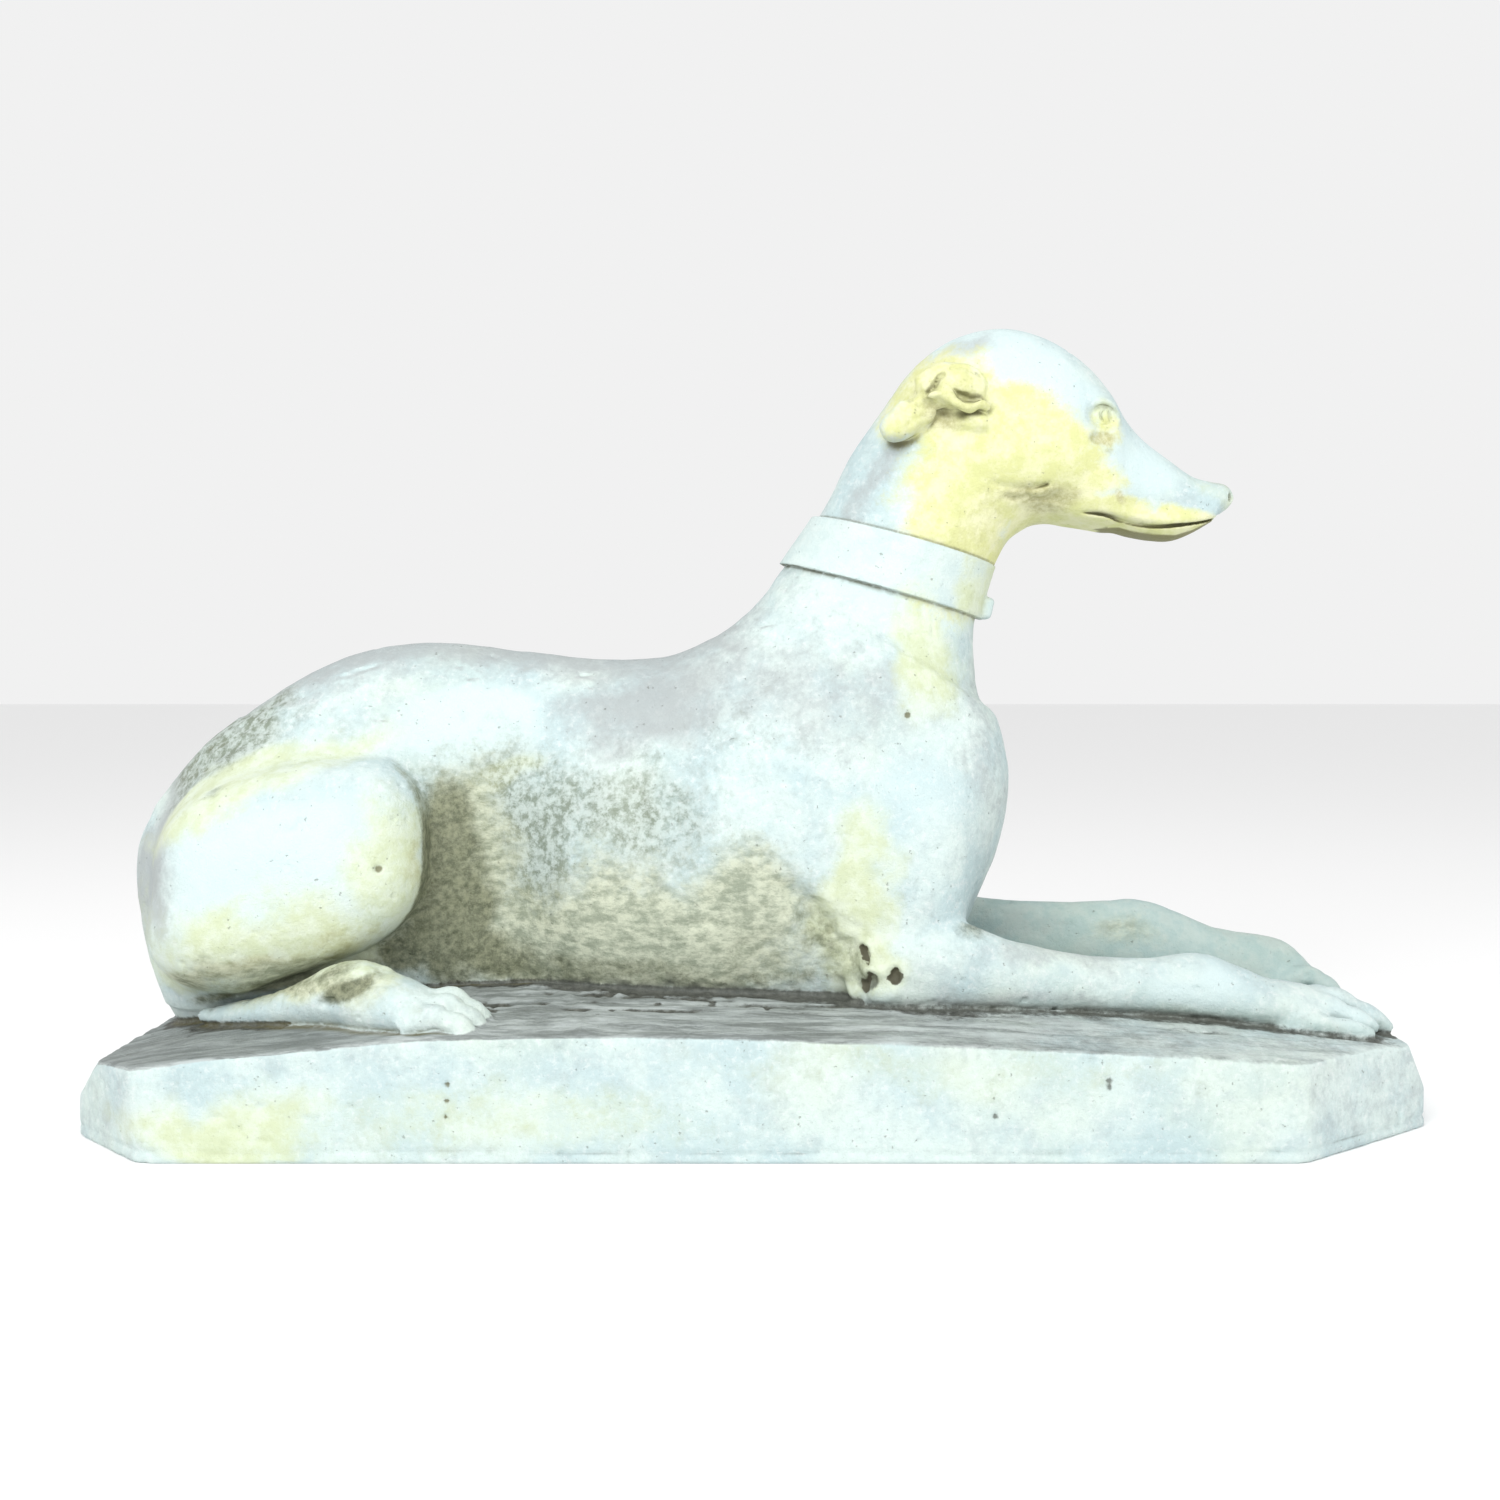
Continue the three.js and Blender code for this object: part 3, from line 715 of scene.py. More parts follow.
# Stains, and some painted shade, as soft patches of the side view: x, z, half x, half z, turn in degrees,
# strength
YELLOW = [
    (127, 480, 36, 34, 0, 1),  # ear
    (102, 466, 17, 13, 33, 1),  # back of the ear
    (178, 452, 54, 34, -14, 1),  # cheek
    (138, 412, 38, 62, -6, 1),  # throat
    (176, 416, 44, 16, 0, 1),
    (212, 426, 34, 20, -6, 1),  # jaw
    (272, 393, 58, 10, 0, 1.2),  # lower lip
    (222, 404, 50, 10, -4, 1),  # underside of the jaw
    (238, 463, 13, 12, 0, 0.6),  # under the eye
    (182, 403, 30, 13, 0, 1),  # corner of the throat
    (152, 346, 10, 12, 0, 0.8),  # buckle
]
CREAM = [
    (120, 312, 22, 44, 0, 1),  # neck below the collar
    (-305, 118, 84, 30, 6, 1),  # underside of the thigh
    (-228, 160, 24, 52, 10, 0.9),  # knee
    (60, 136, 22, 58, -6, 1.4),  # behind the elbow
    (-352, 214, 70, 14, 32, 0.9),  # rump under the ridge
    (-290, 240, 60, 10, 16, 0.7),
    (-170, 228, 26, 8, 20, 1.3),  # bare patch on the flank
    (-400, 115, 24, 40, 0, 0.4),  # rump, lower
    (-325, 22, 66, 22, 0, 0.9),  # plinth, rear
    (-150, 24, 120, 22, 0, 0.5),
    (120, 60, 160, 16, 0, 0.35),
    (335, 415, 10, 10, 0, 0.8),  # nose
    (155, 356, 12, 24, -14, 1),  # collar at the throat
    (-375, 97, 40, 16, 6, 0.8),  # lower end of the rump
    (-264, 102, 44, 12, 18, 1),  # metatarsus
    (-300, 96, 60, 12, 8, 0.9),
    (322, 424, 24, 12, -20, 0.5),  # end of the muzzle
    (236, 471, 11, 10, 0, 1),  # eye
]
# Brownish-yellow staining, and painted brown shade in the creases and under the cheek, the eye, the ear's
# fold and the thigh
TAN_STAIN_AND_SHADE = [
    (248, 415, 3, 6, 30, 1),  # crease at the lips' corner
    (188, 413, 30, 11, 0, 1),  # under the cheek
    (125, 468, 15, 8, -10, 1),  # floor of the ear
    (235, 456, 9, 5, 0, 0.9),  # under the eye
    (-258, 124, 40, 10, 22, 0.5),  # lower edge of the thigh
    (-217, 160, 8, 40, 6, 0.5),  # knee
    (-330, 104, 50, 8, 8, 0.8),
    (-290, 96, 50, 5, 10, 0.8),  # crease under the thigh
    (152, 404, 12, 26, -20, 0.4),  # throat
    (270, 391, 34, 3, 0, 0.2),
    (127, 480, 30, 28, 0, 0.4),  # ear
]
OLIVE = [
    (-92, 116, 136, 50, 0, 1.1),  # lower half of the belly
    (272, 105, 26, 13, 0, 0.55),  # far foreleg
    (-8, 140, 46, 38, 0, 1.1),
    (-192, 172, 36, 66, 0, 1),
]
OLIVE_LEG = [
    (-290, 98, 60, 12, 8, 0.9),  # metatarsus
    (-352, 100, 30, 12, 8, 0.8),
    (205, 86, 110, 8, -3, 0.5),  # underside of the foreleg
]
# Painted shade in the recesses, mixed with olive-brown staining: waist, belly, hollows and folds, under the
# eye and at the buckle
SHADE_AND_DARK_STAIN = [
    (-204, 146, 26, 70, 4, 1.3),  # waist, ahead of the thigh
    (-190, 108, 50, 20, -8, 1),  # behind the hind paw
    (-100, 96, 90, 9, 2, 0.6),  # foot of the belly
    (-20, 93, 100, 6, 2, 0.5),
    (38, 122, 18, 30, 28, 0.45),  # hollow behind the elbow
    (62, 106, 9, 20, 8, 0.5),
    (-232, 106, 16, 14, 0, 1.2),  # between the knee and the hind paw
    (140, 142, 14, 16, 0, 0.8),  # fold of the breast and foreleg
    (238, 447, 5, 3, 0, 0.4),  # below the eye
    (148, 347, 3, 5, 10, 0.9),  # buckle
]
# Painted shade in the creases of the hind legs, with the worn streak on the metatarsus
SHADE_AND_DARK_STAIN_ON_LEGS = [
    (-254, 99.5, 20, 5, 30, 1.2),  # worn streak on the metatarsus
    (-318, 95, 34, 3, 6, 0.6),  # crease under the thigh
    (-268, 107, 24, 3, 24, 0.6),
    (-360, 80, 24, 5, 20, 0.8),
]
SPECKLED = [
    (-172, 192, 60, 54, -14, 1),
    (-98, 204, 76, 44, -10, 0.75),
    (-352, 246, 60, 18, 36, 0.9),  # rump ridge
    (10, 160, 44, 30, 0, 0.35),
    (-20, 250, 70, 34, 0, 0.3),
]
WHITE = [
    (165, 505, 66, 26, -20, 1),  # skull
    (255, 440, 40, 36, -30, 0.8),  # muzzle
    (105, 355, 60, 22, -18, 1),  # collar
    (-310, 175, 70, 46, 12, 1),  # thigh
    (-190, 262, 50, 26, 0, 1),  # loin
    (110, 230, 44, 60, 0, 0.5),  # chest
    (250, 105, 120, 16, 0, 0.3),  # near foreleg
    (285, 92, 36, 14, 0, 0.8),
    (388, 74, 26, 12, -30, 0.7),  # near forepaw
]
GREY = [
    (-72, 276, 54, 26, 8, 0.85),  # shoulder
    (16, 282, 100, 36, -12, 0.5),
    (-398, 180, 24, 60, -10, 1),  # rump
    (-60, 312, 80, 14, 0, 0.8),  # back
    (325, 431, 10, 6, -20, 0.7),  # nose
    (66, 284, 60, 18, 4, 0.5),
    (152, 240, 14, 60, 6, 0.4),  # front edge of the breast
    (78, 424, 9, 60, -32, 0.6),  # nape
    (136, 514, 30, 9, 22, 0.6),  # back of the skull
    (385, 96, 40, 12, -20, 0.3),  # toes
    (180, 82, 70, 8, -3, 0.6),  # underside of the near foreleg
    (190, 112, 60, 10, -4, 0.5),
    (-10, 108, 30, 16, 30, 0.6),  # worn stone behind the elbow
]


ROUGH = [  # where the stone has crumbled, in the same terms
    (46, 122, 24, 36, 24, 1),  # behind the elbow
    (70, 102, 20, 20, 0, 1),
    (-246, 102, 26, 12, 20, 0.7),  # metatarsus
    (-60, 88, 130, 6, 2, 0.6),  # foot of the belly
    (-352, 246, 60, 20, 36, 0.45),  # rump ridge
    (186, 413, 28, 9, 0, 0.55),  # creases under the cheek
    (120, 474, 34, 24, 10, 0.9),  # ear
    (-266, 100, 60, 6, 16, 0.5),  # crease under the thigh
]
# Ragged holes at the near elbow: x, z, half x, half z, turn
BITES = [(68, 114, 2.8, 5.5, 14), (71, 96, 3.2, 6, -12), (88.5, 101.5, 3.8, 3, 30)]
# Single holes of the near side: x, z, radius
HOLES = [
    (-239.5, 172, 2.2), (100, 268.5, 2), (-186.5, 48, 1.6), (-187, 38, 1.4), (-187.5, 28.5, 1.2),
    (213, 50, 1.8), (213, 46, 1.5), (144, 28.5, 1.6),
]

# Lower outline of the jaw, painted darker along its edge as the shadow under it: x, height above the bed
JAW_LINE = [(238, 305), (252, 305.5), (263, 302.5), (276, 300.5), (291, 300), (304, 304), (318, 311)]

# Noises that wear the surface: height, size of the features, seed
HAND_WAVES = ((0.55, 38, 1), (0.3, 13, 2), (0.16, 5.5, 3))
TROWEL_MARKS = ((0.9, (70, 7, 20), 4), (0.5, (24, 4, 20), 5))
CRUMBS = ((2.2, 8, 14), (1.2, 4.5, 15))
PIT_DEPTH = 4.0
GROOVE_DEPTH = 1.5
HOLE_DEPTH = 1.8
BITE_DEPTH = 4.0
ARRIS_WEAR = 1.4
NEAR_SIDE = -30  # y


def rumple(places, rows):
    """Sum of the noises."""
    return sum(height * noise(places, scale, seed) for height, scale, seed in rows)


def patches(places, rows):
    """Strongest of the soft patches at each place; outlines are pulled about by noise, thin ones less."""
    pulls = [rumple(places, ((15, 34, 20 + axis), (7, 13, 30 + axis))) for axis in (0, 2)]
    best = np.zeros(len(places))
    for x, z, half_x, half_z, turn, strength in rows:
        angle = math.radians(turn)
        pull = min(1, max(half_x, half_z) / 40, min(half_x, half_z) / 16)
        dx = places[:, 0] - x + pull * pulls[0]
        dz = places[:, 2] - z + pull * pulls[1]
        along = (dx * math.cos(angle) + dz * math.sin(angle)) / half_x
        across = (-dx * math.sin(angle) + dz * math.cos(angle)) / half_z
        best = np.maximum(best, strength * np.clip(1.5 - np.hypot(along, across), 0, 1))
    return best


def bites(places):
    """Share of the way into the ragged holes at the near elbow."""
    ragged = places.copy()
    for axis in (0, 2):
        ragged[:, axis] += 3.2 * noise(places, 5, 40 + axis)
    rows = [(*row, 1.0) for row in BITES]
    return np.clip(2.5 * patches(ragged, rows), 0, 1) * (places[:, 1] < 2 * NEAR_SIDE)


def foot_groove(places):
    """Share of the way into the groove over the lip at the plinth's foot, deeper in some places."""
    height = 6.5 + 1.6 * noise(places, (60, 60, 900), 6)
    depth = 0.6 + 0.5 * noise(places, (25, 25, 900), 7)
    return np.exp(-(((places[:, 2] - height) / 1.6) ** 2)) * depth


def holes(places):
    """Share of the way into the single holes."""
    total = np.zeros(len(places))
    for x, z, radius in HOLES:
        apart = np.hypot(places[:, 0] - x, places[:, 2] - z) / radius
        total = np.maximum(total, np.clip(1.6 - apart, 0, 1))
    return total * (places[:, 1] < NEAR_SIDE)


def weather(obj):
    """Wears the surface: hand-cast waves, pits, trowel marks on the plinth's top, the lip at its foot."""
    places, normals = read_mesh(obj)
    base = on_plinth(places)
    upright = base * rise(np.abs(normals[:, 2]), 0.4, 0)
    flat_top = base * rise(normals[:, 2], 0.5, 1)
    near_arris = rise(places[:, 2] - plinth_top(places[:, 0], places[:, 1]), -9, 0)
    near_side = places[:, 1] < NEAR_SIDE
    calm = np.where(on_head(places), 0.45, 1.0)
    lift = calm * rumple(places, HAND_WAVES)
    lift += flat_top * rumple(places, TROWEL_MARKS)
    lift += near_side * patches(places, ROUGH) * rumple(places, CRUMBS)
    lift -= PIT_DEPTH * calm * np.clip(noise(places, 7, 8) - 0.62, 0, 1)
    lift -= GROOVE_DEPTH * upright * foot_groove(places)
    lift -= HOLE_DEPTH * holes(places)
    lift -= BITE_DEPTH * bites(places)
    lift -= ARRIS_WEAR * upright * near_arris * base * np.clip(noise(places, 22, 9) - 0.1, 0, 1)
    lift = np.where(places[:, 2] < 1, 0, lift)
    places = places + normals * lift[:, None]
    places[:, 2] = np.maximum(places[:, 2], 0)
    obj.data.vertices.foreach_set("co", (places / 1000).ravel())
    obj.data.update()


weather(statue)
triangles = sum(len(face.vertices) - 2 for face in statue.data.polygons)
if triangles > MOST_TRIANGLES:
    apply_modifier(statue, "DECIMATE", ratio=MOST_TRIANGLES / triangles)
statue.data.shade_smooth()


# What the material needs to know about each point of the surface

def openness(places, normals):
    """How open the surface is to its surroundings, from 0 in a deep crease to 1."""
    head_part = on_head(places)
    total = np.zeros(len(places))
    reaches = (3, 6, 11)
    for reach in reaches:
        ahead = places + normals * reach
        body = body_clay.sample(ahead) / reach
        head = head_clay.sample(ahead) / reach
        total += np.clip(np.where(head_part, head, np.minimum(body, head)), 0, 1)
    return total / len(reaches)


def paint(obj):
    """Stores the stains and the dirt, and painted shade in creases, in holes, under the jaw, on the far
    foreleg, on the plinth's ends and where the dog meets its bed, as shares from 0 to about 1, one layer
    each.
    """
    places, normals = read_mesh(obj)
    x, y, z = places.T
    ahead, up = normals[:, 0], normals[:, 2]
    above = z - plinth_top(x, y)
    base = on_plinth(places)
    dog = 1 - base
    closed = 1 - openness(places, normals)

    far_foreleg = rise(y, 25, 40) * rise(x, 120, 140) * rise(z, 150, 135) * dog
    near_foreleg = rise(y, -25, -40) * rise(x, 150, 170) * (z < 150) * dog
    trunk_side = np.select([x < -285, x < -150], [56, 82], 93)
    leg = rise(np.abs(y), trunk_side, trunk_side + 8)
    flank = (1 - leg) * np.where(x < 60, 1, rise(ahead, 0.75, 0.45)) * (1 - near_foreleg)
    back = rise(up, 0.45, 0.85) * dog * (x < 60) * (z > 190) * rise(np.abs(y), 70, 55)
    neck = rise(z, 300, 315) * dog
    paws = dog * (z < 112) * ((x > 320) | (x < -150))
    # Painted shadow line along the lower edge of the jaw
    jaw = BED + np.interp(x, *zip(*JAW_LINE))
    shadow_under_jaw = neck * rise(z, jaw + 4, jaw + 2) * (x > JAW_LINE[0][0]) * (x < JAW_LINE[-1][0])

    top = rise(up, 0.25, 0.75)
    upright = base * rise(np.abs(up), 0.4, 0)
    # Painted shade: the plinth's end faces, turned away from the light, are painted greyer
    ends = base * rise(np.abs(ahead), 0.3, 0.6) * (1 - top)
    soil = base * top * (1.1 - 0.65 * rise(x, -300, 320))
    # Painted contact shadow on the bed, close under the dog where the surface is closed in, fainter from the
    # elbows forward
    shadow_under_dog = np.clip(1 - (above / 5) ** 2, 0, 1) * np.clip(closed * 3.5, 0, 1)
    shadow_under_dog *= np.where(x < 70, 1, 0.65) * (np.abs(y) < 112)
    low_edge = near_foreleg * rise(above, 15, 7)

    layers = {
        "yellow": patches(places, YELLOW) * dog,
        "cream": patches(places, CREAM),
        "tan": patches(places, TAN_STAIN_AND_SHADE) * dog,
        "olive": dog * np.maximum(patches(places, OLIVE) * flank, patches(places, OLIVE_LEG) * leg),
        "shade_and_dark_stain": dog * np.maximum(patches(places, SHADE_AND_DARK_STAIN) * flank, patches(places, SHADE_AND_DARK_STAIN_ON_LEGS) * leg),
        "speckled": patches(places, SPECKLED) * dog * np.where(x < -260, 1, flank),
        # Grey dirt, also on the top of the back, and painted shade on the plinth's ends
        "grey": np.maximum.reduce([patches(places, GREY) * dog, 0.8 * back, 0.3 * ends]),
        "white": patches(places, WHITE) * dog,
        "neck": neck,
        "bites": bites(places),
        "soil": soil,
        "contact_shadow": shadow_under_dog,
        # Green growth and painted shade on the far foreleg, and painted shade along the near foreleg's lower
        # edge
        "algae_and_shade": np.maximum(far_foreleg, 0.55 * low_edge),
        # Painted shade: darker where the surface is closed in, in the single holes, in the groove at the
        # plinth's foot, and as a shadow line under the jaw
        "crevice_shade": np.maximum.reduce([
            closed * (1 - 0.45 * paws),
            1.1 * holes(places),
            0.7 * upright * foot_groove(places),
            1.2 * shadow_under_jaw,
        ]),
        # Where the painted shade of creases turns greyer: close to the bed, ahead of the hind legs
        "low": rise(above, 30, 15) * (x > -150),
    }
    for name, values in layers.items():
        attribute = obj.data.attributes.new(name, "FLOAT", "POINT")
        attribute.data.foreach_set("value", values.astype(np.float32))


paint(statue)


# Material

class Nodes:
    """Short ways to add and wire shader nodes."""

    def __init__(self, name):
        self.material = bpy.data.materials.new(name)
        self.material.use_nodes = True
        self.tree = self.material.node_tree
        self.shader = self.tree.nodes["Principled BSDF"]
        self.place = self.add("ShaderNodeTexCoord").outputs["Object"]

    def add(self, kind, **inputs):
        node = self.tree.nodes.new(kind)
        for key, value in inputs.items():
            if hasattr(node, key):
                setattr(node, key, value)
            else:
                self.feed(node.inputs[key.replace("_", " ")], value)
        return node

    def feed(self, socket, value):
        if isinstance(value, bpy.types.NodeSocket):
            self.tree.links.new(value, socket)
        else:
            socket.default_value = value

    def math(self, operation, a, b=0.0, c=0.0):
        node = self.tree.nodes.new("ShaderNodeMath")
        node.operation = operation
        for socket, value in zip(node.inputs, (a, b, c)):
            self.feed(socket, value)
        return node.outputs[0]

    def noise(self, size_mm, detail=4.0, rough=0.6, stretch=None):
        """Noise from 0 to 1 with features of the given size."""
        place = self.place
        if stretch:
            mapping = self.tree.nodes.new("ShaderNodeMapping")
            self.feed(mapping.inputs["Vector"], place)
            mapping.inputs["Scale"].default_value = stretch
            place = mapping.outputs[0]
        node = self.tree.nodes.new("ShaderNodeTexNoise")
        settings = {"Vector": place, "Scale": 1000 / size_mm, "Detail": detail, "Roughness": rough}
        for key, value in settings.items():
            self.feed(node.inputs[key], value)
        return node.outputs["Fac"]

    def along(self, origin, axis):
        """Distance in mm from an origin along an axis."""
        node = self.tree.nodes.new("ShaderNodeVectorMath")
        node.operation = "DOT_PRODUCT"
        self.feed(node.inputs[0], self.place)
        node.inputs[1].default_value = axis
        return self.math("MULTIPLY_ADD", node.outputs["Value"], 1000, -float(origin @ axis))

    def layer(self, name):
        """A layer that paint has stored."""
        node = self.tree.nodes.new("ShaderNodeAttribute")
        node.attribute_name = name
        return node.outputs["Fac"]

    def step(self, value, low, high, smooth=True):
        """0 at low, 1 at high; low may be the greater."""
        node = self.tree.nodes.new("ShaderNodeMapRange")
        node.interpolation_type = "SMOOTHSTEP" if smooth else "LINEAR"
        for key, number in (("Value", value), ("From Min", low), ("From Max", high)):
            self.feed(node.inputs[key], number)
        return node.outputs["Result"]

    def mix(self, share, a, b):
        """From a to b by share, each a colour or a socket."""
        node = self.tree.nodes.new("ShaderNodeMix")
        node.data_type = "RGBA"
        for socket, value in ((node.inputs[0], share), (node.inputs[6], a), (node.inputs[7], b)):
            self.feed(socket, value if isinstance(value, (float, bpy.types.NodeSocket)) else rgb(value))
        return node.outputs[2]


def rgb(colour):
    """A colour given as the photo shows it, 0 to 255, as the linear colour of the stone under less light."""
    channels = [c / 255 for c in colour]
    return [BRIGHT * (c / 12.92 if c <= 0.04045 else ((c + 0.055) / 1.055) ** 2.4) for c in channels] + [1]


# Tones as the photo shows them; the two of a pair give way to each other by noise
TONES = {
    "stone": ((206, 228, 230), (228, 244, 240)),
    "greenish cloud": (232, 242, 218),
    "bluish patch": (192, 208, 210),
    "grey spot": (184, 196, 194),
    "pale spot": (246, 252, 250),
    "white": (227, 246, 246),
    "grey": (184, 190, 190),
    "collar": ((220, 238, 236), (234, 248, 244)),
    "cream": ((241, 250, 222), (226, 236, 192)),
    "yellow": ((253, 252, 204), (236, 238, 164)),
    # brownish-yellow staining with painted shade
    "tan": ((230, 228, 186), (194, 190, 140)),
    "speckled": ((204, 216, 208), (122, 132, 108)),
    # green growth with painted shade
    "algae_and_shade": ((166, 194, 190), (192, 210, 202)),
    "olive": ((226, 231, 204), (160, 168, 142)),
    # painted shade mixed with olive-brown staining
    "shade_and_dark_stain": ((158, 162, 132), (96, 102, 78)),
    "soil": ((128, 134, 132), (200, 208, 207)),
    "deep soil": (116, 122, 120),
    # painted contact shadow where the dog meets its bed
    "contact_shadow": ((116, 118, 110), (50, 50, 44)),
    # painted shade of creases and holes: brownish on the dog, greyer close to the bed
    "crevice_shade": ((116, 111, 72), (104, 108, 100)),
    # painted shade inside the ragged holes at the elbow
    "bites": (92, 88, 70),
    # painted shade in thin lines along the collar's edges
    "collar edge shade": (128, 130, 112),
    "speck": (120, 122, 108),
}


def stone():
    """Bare stone, the stains over it one by one, some with painted shade, then soil, painted shade where the
    dog meets its bed and in creases, holes and bites, painted shade along the collar's edges, specks, and
    fine relief.
    """
    n = Nodes("cast_stone")
    broad, cloudy, grain = n.noise(60), n.noise(110, 3, 0.5), n.noise(1.4, 3, 0.6)
    patchy, fine = n.noise(17, 6, 0.7), n.noise(5, 6, 0.75)
    blots = n.noise(5.5, 5, 0.7)
    long_blots = n.noise(6, 5, 0.7, stretch=(0.5, 1, 1))
    long_soil = n.noise(10, 6, 0.75, stretch=(0.16, 1, 1))
    specks = n.step(n.noise(3, 2, 0.5), 0.7, 0.78)
    ragged = n.math("ADD", n.math("MULTIPLY", patchy, 0.6), n.math("MULTIPLY", fine, 0.4))
    ragged = n.math("SUBTRACT", ragged, 0.5)

    def share(value, most):
        return n.math("MULTIPLY", value, most)

    def pair(name, by, low, high):
        return n.mix(n.step(by, low, high), *TONES[name])

    def spread(name, amount, low, high):
        """A stain's share: its painted strength, broken up by noise."""
        return n.step(n.math("MULTIPLY_ADD", ragged, amount, n.layer(name)), low, high)

    def stained(under, name, tone, amount, low, high, most):
        """The colour under a stain, covered by up to the given share."""
        return n.mix(share(spread(name, amount, low, high), most), under, tone)

    colour = pair("stone", broad, 0.38, 0.62)
    for name, by, low, high, most in (
        ("greenish cloud", cloudy, 0.5, 0.66, 0.3),
        ("bluish patch", patchy, 0.46, 0.7, 0.5),
        ("grey spot", fine, 0.5, 0.7, 0.3),
        ("pale spot", fine, 0.5, 0.34, 0.5),
    ):
        colour = n.mix(share(n.step(by, low, high), most), colour, TONES[name])
    colour = stained(colour, "white", TONES["white"], 0.9, 0.2, 0.9, 0.85)
    colour = stained(colour, "grey", TONES["grey"], 1.3, 0.1, 0.9, 0.85)

    from_middle = n.math("ABSOLUTE", n.math("SUBTRACT", n.along(*COLLAR_PLANE), COLLAR_WIDTH / 2))
    past_edge = n.math("SUBTRACT", from_middle, COLLAR_WIDTH / 2)
    collar = n.math("MULTIPLY", n.step(past_edge, 0.8, -0.4), n.layer("neck"))
    colour = n.mix(share(collar, 0.8), colour, pair("collar", patchy, 0.38, 0.62))

    colour = stained(colour, "cream", pair("cream", patchy, 0.38, 0.62), 1.2, 0.1, 1.0, 0.85)
    off_collar = n.math("MULTIPLY_ADD", n.math("SUBTRACT", 1.0, collar), 0.9, 0.02)
    yellowed = n.math("MULTIPLY", spread("yellow", 1.4, 0.2, 0.8), off_collar)
    colour = n.mix(yellowed, colour, pair("yellow", patchy, 0.36, 0.62))
    # Brownish-yellow staining, with painted shade in creases and undersides.
    colour = stained(colour, "tan", pair("tan", fine, 0.36, 0.62), 1.6, 0.2, 1.0, 0.8)
    colour = stained(colour, "speckled", pair("speckled", blots, 0.4, 0.62), 1.5, 0.2, 0.9, 0.8)
    # Green growth and painted shade on the forelegs.
    colour = stained(colour, "algae_and_shade", pair("algae_and_shade", patchy, 0.4, 0.6), 0.8, 0.2, 0.8, 0.65)
    colour = stained(colour, "olive", pair("olive", long_blots, 0.36, 0.64), 1.1, 0.1, 0.95, 0.88)
    # Painted shade in the recesses, mixed with olive-brown staining.
    colour = stained(colour, "shade_and_dark_stain", pair("shade_and_dark_stain", fine, 0.35, 0.65), 1.3, 0.15, 0.95, 0.9)

    earth = pair("soil", long_soil, 0.36, 0.64)
    earth = n.mix(share(n.step(n.layer("soil"), 0.95, 1.1), 0.45), earth, TONES["deep soil"])
    colour = stained(colour, "soil", earth, 0.9, 0.25, 0.75, 0.95)
    # Painted contact shadow along the foot of the dog.
    colour = stained(colour, "contact_shadow", pair("contact_shadow", fine, 0.3, 0.7), 1.6, 0.25, 0.75, 0.92)
    # Painted shade in creases, holes, the foot groove and under the jaw.
    crevice_shade = n.mix(n.layer("low"), *TONES["crevice_shade"])
    colour = stained(colour, "crevice_shade", crevice_shade, 0.3, 0.25, 0.9, 0.8)
    # Painted shade inside the ragged holes at the near elbow.
    colour = stained(colour, "bites", TONES["bites"], 1.8, 0.3, 0.6, 0.9)
    # Painted shade: thin lines just outside both of the collar's edges.
    edge = n.step(n.math("ABSOLUTE", n.math("ADD", past_edge, -0.9)), 1.5, 0.2)
    edge = n.math("MULTIPLY", n.math("MULTIPLY", edge, n.layer("neck")), n.step(fine, 0.3, 0.5))
    colour = n.mix(share(edge, 0.55), colour, TONES["collar edge shade"])
    colour = n.mix(share(specks, 0.45), colour, TONES["speck"])
    n.feed(n.shader.inputs["Base Color"], colour)
    n.feed(n.shader.inputs["Roughness"], n.step(grain, -0.9, 1.4, smooth=False))
    n.shader.inputs["Specular IOR Level"].default_value = 0.25

    height = n.math("MULTIPLY_ADD", grain, 0.22, n.math("MULTIPLY", fine, 0.8))
    height = n.math("MULTIPLY_ADD", patchy, 0.8, height)
    height = n.math("MULTIPLY_ADD", specks, -0.4, height)
    bump = n.tree.nodes.new("ShaderNodeBump")
    bump.inputs["Strength"].default_value = 0.8
    bump.inputs["Distance"].default_value = 0.0014
    n.feed(bump.inputs["Height"], height)
    n.feed(n.shader.inputs["Normal"], bump.outputs["Normal"])
    return n.material


statue.data.materials.clear()
statue.data.materials.append(stone())

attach(statue, "root")
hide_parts("greyhound_on_plinth")


# Floor, camera and light, in metres

bpy.ops.mesh.primitive_plane_add(size=30)
floor = bpy.context.object
floor.name = "floor"
pale = bpy.data.materials.new("pale_floor")
pale.use_nodes = True
pale_shader = pale.node_tree.nodes["Principled BSDF"]
pale_shader.inputs["Base Color"].default_value = (0.9, 0.9, 0.9, 1)
pale_shader.inputs["Roughness"].default_value = 0.9
floor.data.materials.append(pale)

EYE = (-0.004, -1.125, 0.295)  # level with the dog's back, square to its side
camera_data = bpy.data.cameras.new("camera")
camera_data.lens = 38.4
camera_data.sensor_width = 36
camera_data.shift_y = -0.05
camera = bpy.data.objects.new("camera", camera_data)
camera.location = EYE
camera.rotation_euler = (math.pi / 2, 0, 0)
bpy.context.scene.collection.objects.link(camera)
bpy.context.scene.camera = camera

world = bpy.data.worlds.new("studio")
world.use_nodes = True
sky = world.node_tree.nodes["Background"]
sky.inputs["Color"].default_value = (1, 1, 1, 1)
sky.inputs["Strength"].default_value = 0.88
bpy.context.scene.world = world


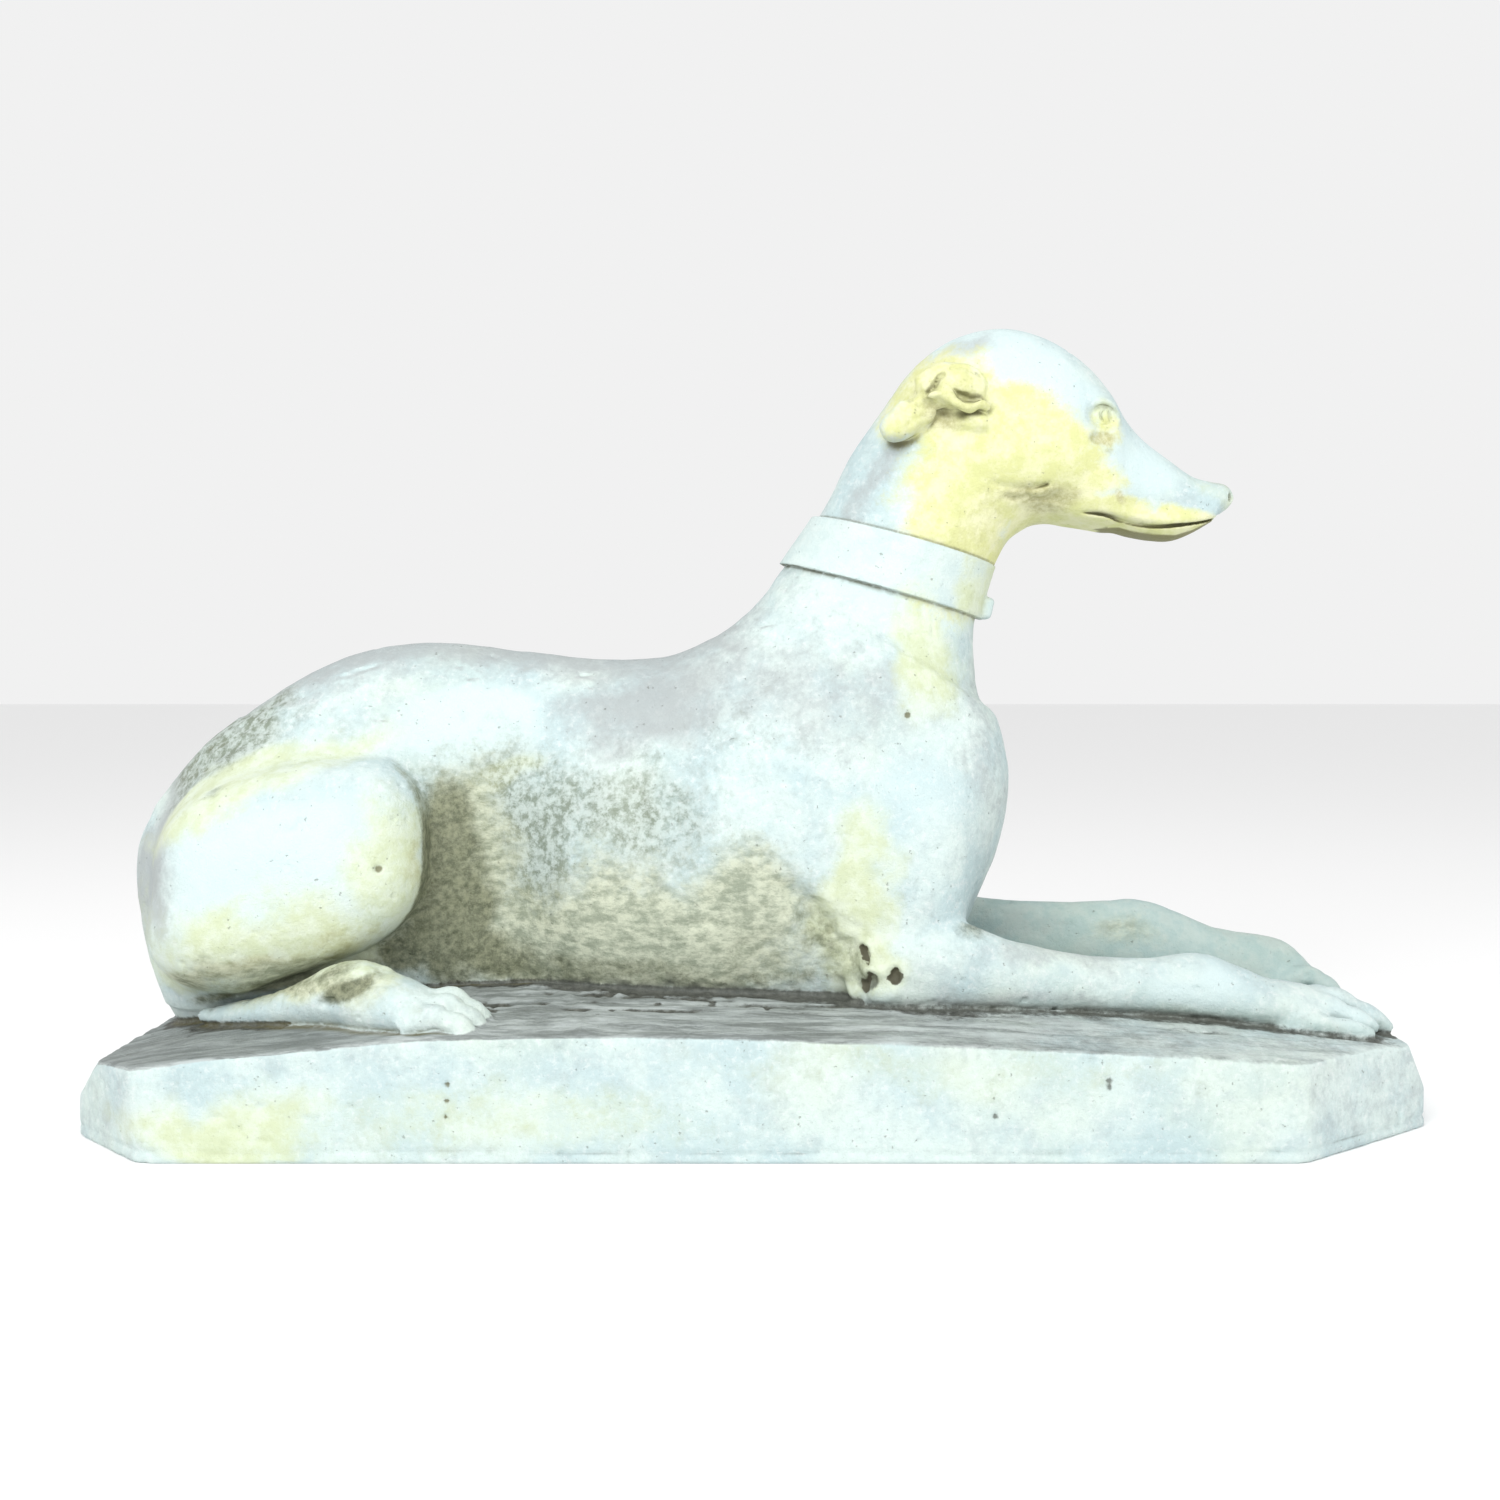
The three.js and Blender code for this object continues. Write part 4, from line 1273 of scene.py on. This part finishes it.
def softbox(name, at, towards, width, height, watts):
    """A soft studio light."""
    data = bpy.data.lights.new(name, "AREA")
    data.shape = "RECTANGLE"
    data.size, data.size_y = width, height
    data.energy = watts
    light = bpy.data.objects.new(name, data)
    light.location = at
    light.rotation_euler = (Vector(towards) - Vector(at)).to_track_quat("-Z", "Y").to_euler()
    bpy.context.scene.collection.objects.link(light)


softbox("key", (-0.7, -1.9, 1.7), (0, 0, 0.2), 1.5, 1.3, 42)
softbox("fill", (1.7, -1.9, 1.0), (0, 0, 0.2), 1.5, 1.5, 15)
bpy.context.scene.view_settings.view_transform = "Standard"
